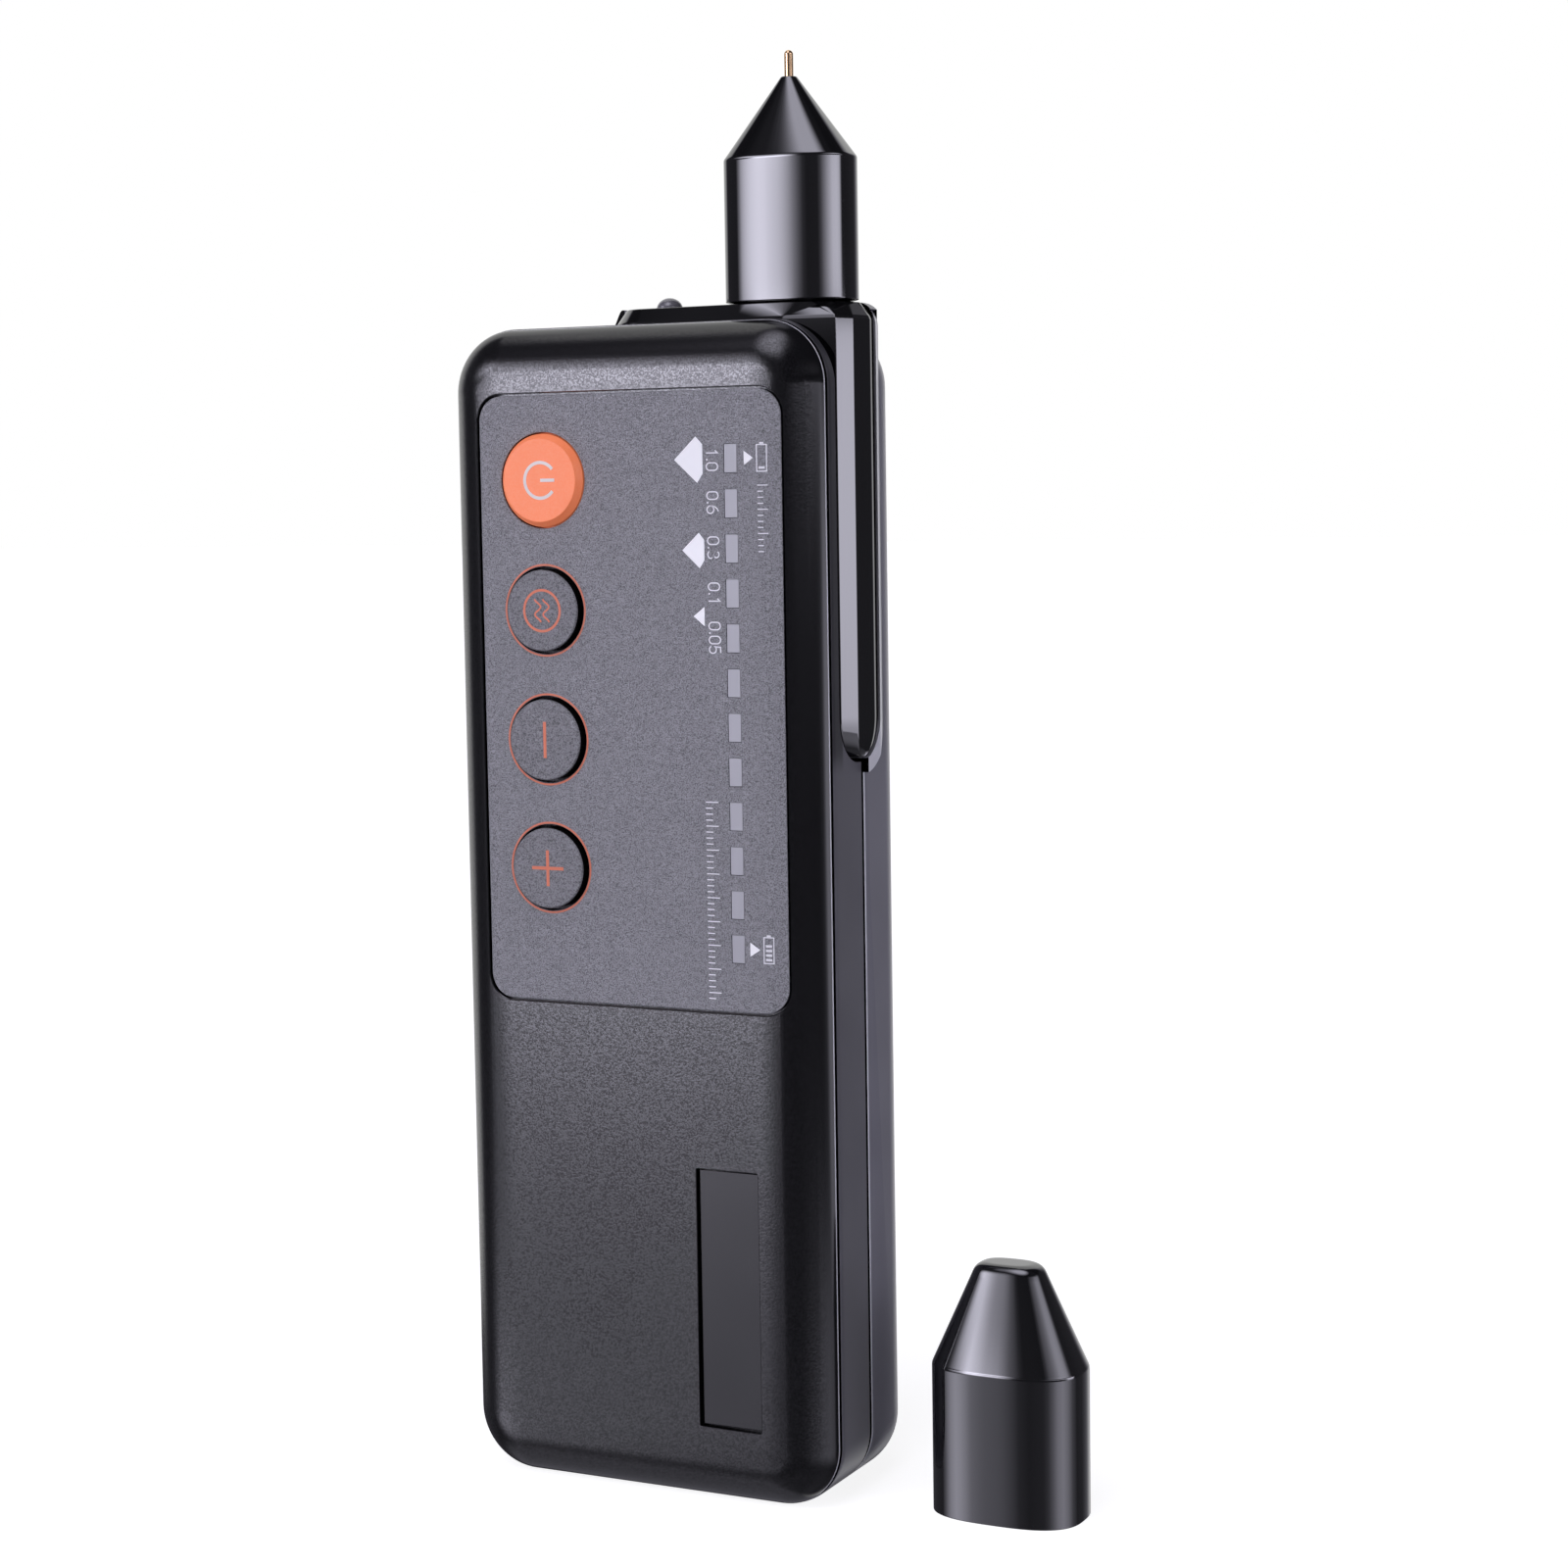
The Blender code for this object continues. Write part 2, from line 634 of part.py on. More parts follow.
def make_overlay_panel():
    mesh = slab("overlay_panel", panel_outline(), PANEL_FACE_Y, PANEL_REAR_Y, "front")
    panel = add_part("overlay_panel", mesh, "panel_grey")
    for cutter in button_cutters("panel") + window_cutters("panel"):
        combine(panel, cutter, "DIFFERENCE")


def make_name_plate():
    low = (PLATE_LEFT_X, FRONT_Y + PLATE_SINK, PLATE_BOTTOM_MARGIN)
    high = (PLATE_RIGHT_X, FRONT_Y + PLATE_SINK + PLATE_THICKNESS, PLATE_TOP_Z)
    add_part("name_plate", block("name_plate", low, high), "smooth_dark")


def holder_ring(inset, height, drop=0.0):
    """The holder's plan outline at one height, drawn in by the inset.

    The left end is a half circle and the right end a crown. The drop is the angle, in degrees,
    by which the tongue's round tip has closed in from its full width.
    """
    full = HOLDER_HALF_DEPTH - inset
    half = full * cos(radians(drop))
    centre = HOLDER_LEFT_X + HOLDER_HALF_DEPTH
    turns = np.radians(np.linspace(90, 270, 2 * CORNER_STEPS + 1))
    left = np.stack([centre + full * np.cos(turns), HOLDER_Y + half * np.sin(turns)], axis=1)
    tip_x = SIDE_X + TONGUE_TIP_RISE
    right_x = tip_x + (HOLDER_RIGHT_X - tip_x) * cos(radians(drop)) - inset
    start = HOLDER_RIGHT_X - HOLDER_CROWN
    turns = np.radians(np.linspace(-90, 90, 3 * CORNER_STEPS + 1))
    across = np.abs(np.cos(turns)) ** (2 / CROWN_POWER)
    along = np.sign(np.sin(turns)) * np.abs(np.sin(turns)) ** (2 / CROWN_POWER)
    right = np.stack([start + (right_x - start) * across, HOLDER_Y + half * along], axis=1)
    ring = np.zeros((len(left) + len(right), 3))
    ring[:, :2] = np.concatenate([left, right])
    ring[:, 2] = height
    return ring


def holder_rings(grow):
    """Rings from the tongue's tip up to where the tongue has its full width."""
    centre_z = TONGUE_TIP_Z + HOLDER_HALF_DEPTH
    radius = HOLDER_HALF_DEPTH + grow
    drops = np.linspace(80, 0, TONGUE_STEPS + 1)
    return [holder_ring(-grow, centre_z - radius * sin(radians(drop)), drop) for drop in drops]


def holder_space(name, grow):
    """The holder's outline all the way down, grown on every side, as a cutter."""
    rings = holder_rings(grow) + [holder_ring(-grow, HOLDER_TOP_Z + OVERRUN)]
    return add_cutter(name, loft(name, rings))


def make_mid_frame():
    frame = add_part("mid_frame", case_form("mid_frame", 0), "smooth_charcoal")
    combine(frame, add_cutter("frame_hollow", case_form("frame_hollow", WALL)), "DIFFERENCE")
    combine(frame, before("before_mid_frame", FRAME_FRONT_Y), "DIFFERENCE")
    combine(frame, behind("behind_mid_frame", FRAME_REAR_Y), "DIFFERENCE")
    combine(frame, holder_space("frame_holder_space", GAP), "DIFFERENCE")
    outline = rounded(
        SOCKET_X - SOCKET_WIDTH / 2 - GAP,
        SOCKET_X + SOCKET_WIDTH / 2 + GAP,
        REAR_MOUNT_Y - GAP,
        REAR_MOUNT_Y + SOCKET_DEPTH + GAP,
        SOCKET_DEPTH / 2,
    )
    port = slab("socket_port", outline, -OVERRUN, WALL + OVERRUN, "plan")
    combine(frame, add_cutter("socket_port", port), "DIFFERENCE")


def collar_form():
    """The collar round the rear half of the holder, before it is cut to the rear cover.

    Its left end climbs from the case as a soft ramp, and its right end has a round corner.
    """
    reach = GAP + COLLAR_WIDTH
    foot = HOLDER_LEFT_X - reach
    right = SIDE_X + COLLAR_RISE
    bottom = TONGUE_TIP_Z - CORNER_RADIUS
    outline = [(right, bottom), (foot, bottom)]
    for share in np.linspace(0, 1, CORNER_STEPS + 1):
        climb = (COLLAR_TOP_Z - CASE_HEIGHT) * share**2 * (3 - 2 * share)
        outline.append((foot + COLLAR_RAMP_WIDTH * share, CASE_HEIGHT + climb))
    centre = (right - COLLAR_CORNER, COLLAR_TOP_Z - COLLAR_CORNER)
    outline += arc(centre, COLLAR_CORNER, 90, 0, CORNER_STEPS)
    far = HOLDER_Y + HOLDER_HALF_DEPTH + reach + OVERRUN
    collar = add_cutter("collar", slab("collar", outline, FRAME_FRONT_Y, far, "front"))
    return combine(collar, holder_space("collar_reach", reach), "INTERSECT")


def make_rear_cover():
    cover = add_part("rear_cover", case_form("rear_cover", 0), "smooth_charcoal")
    combine(cover, collar_form(), "UNION")
    hollow = add_cutter("rear_hollow", case_form("rear_hollow", WALL))
    for index, (across, height) in enumerate(SCREW_PLACES):
        boss = round_hole(f"rear_boss_{index + 1}", BOSS_RADIUS, across, height, FRONT_Y, REAR_Y, 24)
        combine(hollow, boss, "DIFFERENCE")
    combine(cover, hollow, "DIFFERENCE")
    combine(cover, before("before_rear_cover", REAR_START_Y), "DIFFERENCE")
    combine(cover, holder_space("rear_holder_space", GAP), "DIFFERENCE")
    for index, (across, height) in enumerate(SCREW_PLACES):
        seat_radius = SCREW_HEAD_RADIUS + SCREW_HEAD_CLEARANCE
        name = f"screw_seat_{index + 1}"
        seat = round_hole(name, seat_radius, across, height, SCREW_SEAT_Y, REAR_Y + OVERRUN, 24)
        combine(cover, seat, "DIFFERENCE")
        name = f"screw_hole_{index + 1}"
        near = REAR_START_Y - OVERRUN
        hole = round_hole(name, SCREW_RADIUS + GAP, across, height, near, SCREW_SEAT_Y + OVERRUN, 16)
        combine(cover, hole, "DIFFERENCE")


def make_case_screws():
    """Pan-head screws with a cross recess, each seated in its counterbore in the rear cover."""
    head_top = SCREW_HEAD_HEIGHT
    shoulder = SCREW_HEAD_HEIGHT / 3
    profile = (
        (0, head_top),
        (SCREW_HEAD_RADIUS - shoulder, head_top),
        (SCREW_HEAD_RADIUS, head_top - shoulder),
        (SCREW_HEAD_RADIUS, 0),
        (SCREW_RADIUS, 0),
        (SCREW_RADIUS, SCREW_RADIUS - SCREW_LENGTH),
        (0, -SCREW_LENGTH),
    )
    arm = SCREW_CROSS_LENGTH / 2
    half = SCREW_CROSS_WIDTH / 2
    cross = []
    for quarter in range(4):
        turn = quarter * pi / 2
        for across, along in ((arm, -half), (arm, half), (SCREW_CROSS_CORNER, SCREW_CROSS_CORNER)):
            cross.append((across * cos(turn) - along * sin(turn), across * sin(turn) + along * cos(turn)))
    for index, (across, height) in enumerate(SCREW_PLACES):
        name = f"case_screw_{index + 1}"
        place = (across, SCREW_SEAT_Y + GAP, height)
        turn = (-pi / 2, 0, 0)
        screw = add_part(name, turned(name, profile, 24), "steel", place, turn)
        recess = slab(f"{name}_recess", cross, head_top - SCREW_CROSS_DEPTH, head_top + OVERRUN, "plan")
        combine(screw, add_cutter(f"{name}_recess", recess, place, turn), "DIFFERENCE")


# Probe


def make_probe_holder():
    rings = holder_rings(0)
    rings.append(holder_ring(0, HOLDER_TOP_Z - HOLDER_CHAMFER_HEIGHT))
    rings.append(holder_ring(HOLDER_CHAMFER_WIDTH, HOLDER_TOP_Z))
    holder = add_part("probe_holder", loft("probe_holder", rings), "gloss_black")
    inner_x = HOLDER_RIGHT_X - TONGUE_THICKNESS
    wide = HOLDER_HALF_DEPTH + OVERRUN
    low = (HOLDER_LEFT_X - OVERRUN, HOLDER_Y - wide, TONGUE_TIP_Z - OVERRUN)
    high = (inner_x, HOLDER_Y + wide, HOLDER_SLAB_BOTTOM_Z)
    below = block("below_holder_slab", low, high)
    combine(holder, add_cutter("below_holder_slab", below), "DIFFERENCE")
    reach = HOLDER_HALF_DEPTH + HOLDER_FLANGE_REACH
    outline = rounded(
        HOLDER_LEFT_X - HOLDER_FLANGE_REACH,
        SIDE_X - HOLDER_FLANGE_MARGIN,
        HOLDER_Y - reach,
        HOLDER_Y + reach,
        HOLDER_FLANGE_REACH,
        steps=4,
    )
    flange_bottom = HOLDER_SLAB_BOTTOM_Z - OVERRUN / 2
    flange_top = CASE_HEIGHT - WALL - GAP
    flange = slab("holder_flange", outline, flange_top - HOLDER_FLANGE_THICKNESS, flange_top, "plan")
    combine(holder, add_cutter("holder_flange", flange), "UNION")
    bores = (
        ("nose", PROBE_X, NOSE_SPIGOT_RADIUS + GAP),
        ("lamp", LAMP_X, LAMP_RADIUS + FINE_GAP),
    )
    for name, across, radius in bores:
        bore = rod(f"{name}_bore", radius, flange_bottom - OVERRUN, HOLDER_TOP_Z + OVERRUN)
        combine(holder, add_cutter(f"{name}_bore", bore, (across, HOLDER_Y, 0)), "DIFFERENCE")


def make_probe_nose():
    """A flat-oval barrel under a cone, over a round spigot that goes down through the holder."""
    rings = [
        oval(NOSE_HALF_WIDTH, NOSE_HALF_DEPTH, NOSE_SEAT_Z),
        oval(NOSE_HALF_WIDTH, NOSE_HALF_DEPTH, NOSE_SHOULDER_Z),
        oval(NOSE_TOP_RADIUS, NOSE_TOP_RADIUS, NOSE_TOP_Z, power=2),
    ]
    place = (PROBE_X, HOLDER_Y, 0)
    nose = add_part("probe_nose", loft("probe_nose", rings), "gloss_black", place)
    spigot = rod("nose_spigot", NOSE_SPIGOT_RADIUS, NOSE_SPIGOT_BOTTOM_Z, NOSE_SEAT_Z + OVERRUN)
    combine(nose, add_cutter("nose_spigot", spigot, place), "UNION")
    bore = NEEDLE_RADIUS + FINE_GAP
    profile = (
        (0, NOSE_TOP_Z + OVERRUN),
        (bore, NOSE_TOP_Z + OVERRUN),
        (bore, NOSE_BORE_TOP_Z),
        (NOSE_BORE_RADIUS, NOSE_BORE_TOP_Z),
        (NOSE_BORE_RADIUS, NOSE_SPIGOT_BOTTOM_Z - OVERRUN),
        (0, NOSE_SPIGOT_BOTTOM_Z - OVERRUN),
    )
    combine(nose, add_cutter("nose_bore", turned("nose_bore", profile), place), "DIFFERENCE")


def make_probe_needle():
    """The pin, with the collar that the spring pushes against the top of the nose's bore."""
    tip = [
        (NEEDLE_RADIUS * sin(turn), NEEDLE_TOP_Z - NEEDLE_RADIUS * (1 - cos(turn)))
        for turn in np.linspace(0, pi / 2, 6)
    ]
    profile = tip + [
        (NEEDLE_RADIUS, NEEDLE_COLLAR_TOP_Z),
        (NEEDLE_COLLAR_RADIUS, NEEDLE_COLLAR_TOP_Z),
        (NEEDLE_COLLAR_RADIUS, NEEDLE_COLLAR_BOTTOM_Z),
        (NEEDLE_TAIL_RADIUS, NEEDLE_COLLAR_BOTTOM_Z),
        (NEEDLE_TAIL_RADIUS, NEEDLE_TAIL_Z),
        (0, NEEDLE_TAIL_Z),
    ]
    profile[0] = (0, NEEDLE_TOP_Z)
    local = [(radius, height - NEEDLE_TOP_Z) for radius, height in profile]
    place = (PROBE_X, HOLDER_Y, NEEDLE_TOP_Z)
    add_part("probe_needle", turned("probe_needle", local, 24), "copper", place)


def make_probe_plug():
    flange_top = NOSE_SPIGOT_BOTTOM_Z - GAP
    profile = (
        (0, PLUG_TOP_Z),
        (NOSE_BORE_RADIUS - GAP, PLUG_TOP_Z),
        (NOSE_BORE_RADIUS - GAP, flange_top),
        (NOSE_SPIGOT_RADIUS, flange_top),
        (NOSE_SPIGOT_RADIUS, flange_top - PLUG_FLANGE_THICKNESS),
        (0, flange_top - PLUG_FLANGE_THICKNESS),
    )
    add_part("probe_plug", turned("probe_plug", profile, 24), "smooth_dark", (PROBE_X, HOLDER_Y, 0))


def wire(name, points, radius, sides_level):
    """A round wire along the points, as a closed mesh."""
    path = bpy.data.curves.new(name, "CURVE")
    path.dimensions = "3D"
    path.bevel_depth = radius
    path.bevel_resolution = sides_level
    path.use_fill_caps = True
    line = path.splines.new("POLY")
    line.points.add(len(points) - 1)
    for point, place in zip(line.points, points):
        point.co = (*place, 1)
    holder = bpy.data.objects.new(name, path)
    CUTTERS.objects.link(holder)
    return baked(holder, name)


def make_probe_spring():
    """The coil between the plug and the needle's collar: a point goes round as it climbs."""
    bottom = PLUG_TOP_Z + GAP + SPRING_WIRE_RADIUS
    top = NEEDLE_COLLAR_BOTTOM_Z - GAP - SPRING_WIRE_RADIUS
    count = SPRING_TURNS * SPRING_POINTS_A_TURN
    points = []
    for index in range(count + 1):
        turn = 2 * pi * index / SPRING_POINTS_A_TURN
        height = bottom + (top - bottom) * index / count
        points.append((SPRING_MEAN_RADIUS * cos(turn), SPRING_MEAN_RADIUS * sin(turn), height))
    places = np.array(points)
    apart = np.linalg.norm(places[SPRING_POINTS_A_TURN:] - places[:-SPRING_POINTS_A_TURN], axis=1).min()
    print(f"probe_spring: least gap between turns {apart - 2 * SPRING_WIRE_RADIUS:.5f} m")
    mesh = wire("probe_spring", points, SPRING_WIRE_RADIUS, 1)
    add_part("probe_spring", mesh, "steel", (PROBE_X, HOLDER_Y, 0))


def make_lamp():
    flange_top = CASE_HEIGHT - WALL - GAP - HOLDER_FLANGE_THICKNESS - GAP
    dome = [
        (LAMP_RADIUS * sin(turn), HOLDER_TOP_Z + LAMP_DOME_HEIGHT * cos(turn))
        for turn in np.linspace(0, pi / 2, 7)
    ]
    profile = [(0, HOLDER_TOP_Z + LAMP_DOME_HEIGHT)] + dome[1:] + [
        (LAMP_RADIUS, flange_top),
        (LAMP_FLANGE_RADIUS, flange_top),
        (LAMP_FLANGE_RADIUS, flange_top - LAMP_FLANGE_THICKNESS),
        (0, flange_top - LAMP_FLANGE_THICKNESS),
    ]
    add_part("lamp", turned("lamp", profile, 24), "smoked_lens", (LAMP_X, HOLDER_Y, 0))


# Buttons, switches and signal lights


def make_buttons():
    """Each button's local Z axis points out of the face, and its origin is on that axis."""
    flange_front = INNER_FRONT_Y + GAP
    flange_rear = flange_front + BUTTON_FLANGE_THICKNESS
    for name, height in BUTTON_PLACES.items():
        radius = button_radius(name)
        top = BUTTON_RISE
        edge = POWER_RADIUS - POWER_FACE_RADIUS if name == "power" else BUTTON_EDGE
        drop = BUTTON_RISE - PANEL_SINK if name == "power" else BUTTON_EDGE
        profile = (
            (0, top),
            (radius - edge, top),
            (radius, top - drop),
            (radius, FRONT_Y - flange_front),
            (radius + BUTTON_FLANGE_WIDTH, FRONT_Y - flange_front),
            (radius + BUTTON_FLANGE_WIDTH, FRONT_Y - flange_rear),
            (0, FRONT_Y - flange_rear),
        )
        finish_name = "orange" if name == "power" else "panel_grey"
        piece = f"{name}_button"
        add_part(piece, turned(piece, profile, 40), finish_name, (BUTTON_X, FRONT_Y, height), (pi / 2, 0, 0))


def make_switches():
    """A flat push switch on the board behind each button."""
    half = SWITCH_WIDTH / 2
    body_front = FRONT_MOUNT_Y - SWITCH_BODY_THICKNESS
    for name, height in BUTTON_PLACES.items():
        piece = f"{name}_switch"
        low = (BUTTON_X - half, body_front, height - half)
        high = (BUTTON_X + half, FRONT_MOUNT_Y, height + half)
        switch = add_part(piece, block(piece, low, high), "steel")
        near = body_front - SWITCH_PLUNGER_HEIGHT
        far = body_front + SWITCH_BODY_THICKNESS / 2
        plunger = round_hole(f"{piece}_plunger", SWITCH_PLUNGER_RADIUS, BUTTON_X, height, near, far, 20)
        combine(switch, plunger, "UNION")


def make_light_guide():
    """A comb: a bar behind the cover, with a tooth that comes out flush in each window."""
    bar_front = INNER_FRONT_Y + GAP
    bar_rear = bar_front + GUIDE_BAR_THICKNESS
    half = WINDOW_HEIGHT / 2
    top = WINDOW_PLACES[0] + half + GUIDE_BAR_OVERHANG
    bottom = WINDOW_PLACES[-1] - half - GUIDE_BAR_OVERHANG
    outline = [(bar_front, bottom), (bar_rear, bottom), (bar_rear, top), (bar_front, top)]
    for height in WINDOW_PLACES:
        outline += [
            (bar_front, height + half),
            (PANEL_FACE_Y, height + half),
            (PANEL_FACE_Y, height - half),
            (bar_front, height - half),
        ]
    low = WINDOW_X - WINDOW_WIDTH / 2
    high = WINDOW_X + WINDOW_WIDTH / 2
    add_part("light_guide", slab("light_guide", outline, low, high, "side"), "window_grey")


def make_signal_leds():
    for index, height in enumerate(WINDOW_PLACES):
        name = f"led_{index + 1:02d}"
        low = (WINDOW_X - LED_WIDTH / 2, FRONT_MOUNT_Y - LED_THICKNESS, height - LED_HEIGHT / 2)
        high = (WINDOW_X + LED_WIDTH / 2, FRONT_MOUNT_Y, height + LED_HEIGHT / 2)
        add_part(name, block(name, low, high, LED_EDGE), "led_white")


# Inside of the case


def make_main_board():
    side = SIDE_X - WALL - BOARD_SIDE_MARGIN
    outline = rounded(-side, side, BOARD_BOTTOM_MARGIN, BOARD_TOP_Z, BOARD_CORNER)
    board = add_part("main_board", slab("main_board", outline, BOARD_FRONT_Y, BOARD_REAR_Y, "front"), "board_green")
    for index, (across, height) in enumerate(SCREW_PLACES):
        near = BOARD_FRONT_Y - OVERRUN
        notch = round_hole(f"board_notch_{index + 1}", POST_RADIUS + GAP, across, height, near, BOARD_REAR_Y + OVERRUN)
        combine(board, notch, "DIFFERENCE")


def make_controller_chip():
    half = CHIP_WIDTH / 2
    middle = CASE_HEIGHT - CHIP_DROP
    low = (CHIP_X - half, REAR_MOUNT_Y, middle - half)
    high = (CHIP_X + half, REAR_MOUNT_Y + CHIP_THICKNESS, middle + half)
    add_part("controller_chip", block("controller_chip", low, high, CHIP_EDGE), "smooth_dark")


def make_buzzer():
    profile = (
        (0, BUZZER_HEIGHT - BUZZER_HOLE_DEPTH),
        (BUZZER_HOLE_RADIUS, BUZZER_HEIGHT - BUZZER_HOLE_DEPTH),
        (BUZZER_HOLE_RADIUS, BUZZER_HEIGHT),
        (BUZZER_RADIUS - BUZZER_EDGE, BUZZER_HEIGHT),
        (BUZZER_RADIUS, BUZZER_HEIGHT - BUZZER_EDGE),
        (BUZZER_RADIUS, 0),
        (0, 0),
    )
    place = (BUZZER_X, REAR_MOUNT_Y, CASE_HEIGHT - BUZZER_DROP)
    add_part("buzzer", turned("buzzer", profile, 28), "smooth_dark", place, (-pi / 2, 0, 0))


def make_battery():
    """The cell lies against its foam pad, which lies on the rear cover."""
    pad_rear = INNER_REAR_Y - GAP
    pad_front = pad_rear - PAD_THICKNESS
    cell_rear = pad_front - GAP
    half = CELL_WIDTH / 2
    top = CELL_BOTTOM_MARGIN + CELL_HEIGHT
    low = (-half, cell_rear - CELL_THICKNESS, CELL_BOTTOM_MARGIN)
    add_part("battery_cell", block("battery_cell", low, (half, cell_rear, top), CELL_EDGE), "cell_silver")
    low = (PAD_MARGIN - half, pad_front, CELL_BOTTOM_MARGIN + PAD_MARGIN)
    high = (half - PAD_MARGIN, pad_rear, top - PAD_MARGIN)
    add_part("battery_pad", block("battery_pad", low, high), "foam")
    return Vector((BATTERY_LEAD_X, cell_rear - CELL_THICKNESS / 2, top))


def make_usb_socket():
    """The charging socket: a flat-oval metal mouth with its tongue, open downwards."""
    left = SOCKET_X - SOCKET_WIDTH / 2
    right = SOCKET_X + SOCKET_WIDTH / 2
    front = REAR_MOUNT_Y
    rear = REAR_MOUNT_Y + SOCKET_DEPTH
    top = SOCKET_BOTTOM_Z + SOCKET_LENGTH
    outline = rounded(left, right, front, rear, SOCKET_DEPTH / 2 - FINE_GAP, steps=6)
    socket = add_part("usb_socket", slab("usb_socket", outline, SOCKET_BOTTOM_Z, top, "plan"), "steel")
    outline = rounded(
        left + SOCKET_WALL,
        right - SOCKET_WALL,
        front + SOCKET_WALL,
        rear - SOCKET_WALL,
        SOCKET_DEPTH / 2 - FINE_GAP - SOCKET_WALL,
        steps=6,
    )
    mouth_top = SOCKET_BOTTOM_Z + SOCKET_MOUTH_LENGTH
    mouth = slab("socket_mouth", outline, SOCKET_BOTTOM_Z - OVERRUN, mouth_top, "plan")
    combine(socket, add_cutter("socket_mouth", mouth), "DIFFERENCE")
    middle = (front + rear) / 2
    thick = SOCKET_TONGUE_THICKNESS / 2
    low = (SOCKET_X - SOCKET_TONGUE_WIDTH / 2, middle - thick, mouth_top - SOCKET_TONGUE_LENGTH)
    high = (SOCKET_X + SOCKET_TONGUE_WIDTH / 2, middle + thick, mouth_top + (top - mouth_top) / 2)
    combine(socket, add_cutter("socket_tongue", block("socket_tongue", low, high)), "UNION")


def make_lead(name, start, drop, rise):
    """A lead that leaves its piece straight along Z, and then bends to the back of the board."""
    end_y = REAR_MOUNT_Y + LEAD_RADIUS
    outward = 1 if rise else -1
    start = start + Vector((0, 0, outward * GAP))
    end = Vector((start.x, end_y, start.z + outward * drop))
    lift = Vector((0, 0, outward * LEAD_LIFT))
    handles = (start, start + lift, end - lift, end)
    points = []
    for share in np.linspace(0, 1, 3 * LEAD_STEPS):
        rest = 1 - share
        weights = (rest**3, 3 * rest**2 * share, 3 * rest * share**2, share**3)
        points.append(sum((handle * weight for handle, weight in zip(handles, weights)), Vector()))
    add_part(name, wire(name, points, LEAD_RADIUS, 2), "lead_red")


# Cap


def make_probe_cap():
    """A flat-oval cap, open below, that clears the probe's nose all round."""
    half_width = NOSE_HALF_WIDTH + CAP_CLEARANCE + CAP_WALL
    half_depth = NOSE_HALF_DEPTH + CAP_CLEARANCE + CAP_WALL
    rings = [
        oval(half_width, half_depth, 0),
        oval(half_width, half_depth, CAP_BARREL_HEIGHT),
        oval(CAP_TOP_HALF_WIDTH, CAP_TOP_HALF_DEPTH, CAP_HEIGHT - CAP_TOP_ROUND),
        oval(CAP_TOP_HALF_WIDTH - CAP_TOP_ROUND, CAP_TOP_HALF_DEPTH - CAP_TOP_ROUND, CAP_HEIGHT),
    ]
    place = (CAP_X, CAP_Y, 0)
    cap = add_part("probe_cap", loft("probe_cap", rings), "gloss_black", place)
    slope = hypot(half_width - CAP_TOP_HALF_WIDTH, CAP_HEIGHT - CAP_BARREL_HEIGHT)
    drop = CAP_WALL * (slope - (CAP_HEIGHT - CAP_BARREL_HEIGHT)) / (half_width - CAP_TOP_HALF_WIDTH)
    inner = [
        oval(half_width - CAP_WALL, half_depth - CAP_WALL, -OVERRUN),
        oval(half_width - CAP_WALL, half_depth - CAP_WALL, CAP_BARREL_HEIGHT - drop),
        oval(CAP_TOP_HALF_WIDTH - CAP_WALL, CAP_TOP_HALF_DEPTH - CAP_WALL, CAP_HEIGHT - CAP_ROOF),
    ]
    combine(cap, add_cutter("cap_hollow", loft("cap_hollow", inner), place), "DIFFERENCE")


def main():
    make_front_cover()
    make_overlay_panel()
    make_name_plate()
    make_mid_frame()
    make_rear_cover()
    make_case_screws()
    make_probe_holder()
    make_probe_nose()
    make_probe_needle()
    make_probe_plug()
    make_probe_spring()
    make_lamp()
    make_buttons()
    make_switches()
    make_light_guide()
    make_signal_leds()
    make_main_board()
    make_controller_chip()
    make_buzzer()
    battery_top = make_battery()
    make_usb_socket()
    make_lead("battery_lead", battery_top, BATTERY_LEAD_DROP, True)
    plug_bottom = NOSE_SPIGOT_BOTTOM_Z - GAP - PLUG_FLANGE_THICKNESS
    make_lead("probe_lead", Vector((PROBE_X, HOLDER_Y, plug_bottom)), PROBE_LEAD_DROP, False)
    lamp_bottom = CASE_HEIGHT - WALL - GAP - HOLDER_FLANGE_THICKNESS - GAP - LAMP_FLANGE_THICKNESS
    make_lead("lamp_lead", Vector((LAMP_X, HOLDER_Y, lamp_bottom)), LAMP_LEAD_DROP, False)
    make_probe_cap()


main()
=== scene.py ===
"""Diamond tester as it stands on a table, with its cap beside it.

Metres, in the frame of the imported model: +Z up, the front face towards -Y. Each visible piece is a fine
surface worked out with numpy, cut where the real one is cut, and each finish is made of nodes.
"""

from contextlib import contextmanager
from math import acos, cos, pi, radians, sin

import bmesh
import bpy
import numpy as np
from mathutils import Matrix, Vector


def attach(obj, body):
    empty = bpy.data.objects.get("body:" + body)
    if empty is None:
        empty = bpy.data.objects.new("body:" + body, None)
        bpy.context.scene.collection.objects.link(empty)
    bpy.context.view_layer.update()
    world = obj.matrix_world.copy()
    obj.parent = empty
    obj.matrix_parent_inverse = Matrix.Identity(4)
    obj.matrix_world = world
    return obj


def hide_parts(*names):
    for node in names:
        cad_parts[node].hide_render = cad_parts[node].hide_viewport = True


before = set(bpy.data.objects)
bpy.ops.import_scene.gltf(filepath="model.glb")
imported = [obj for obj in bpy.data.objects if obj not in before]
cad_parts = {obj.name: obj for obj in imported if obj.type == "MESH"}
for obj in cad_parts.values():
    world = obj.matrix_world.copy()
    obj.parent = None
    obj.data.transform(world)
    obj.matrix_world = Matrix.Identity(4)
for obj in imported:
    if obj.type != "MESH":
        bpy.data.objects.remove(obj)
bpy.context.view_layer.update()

MM = 0.001

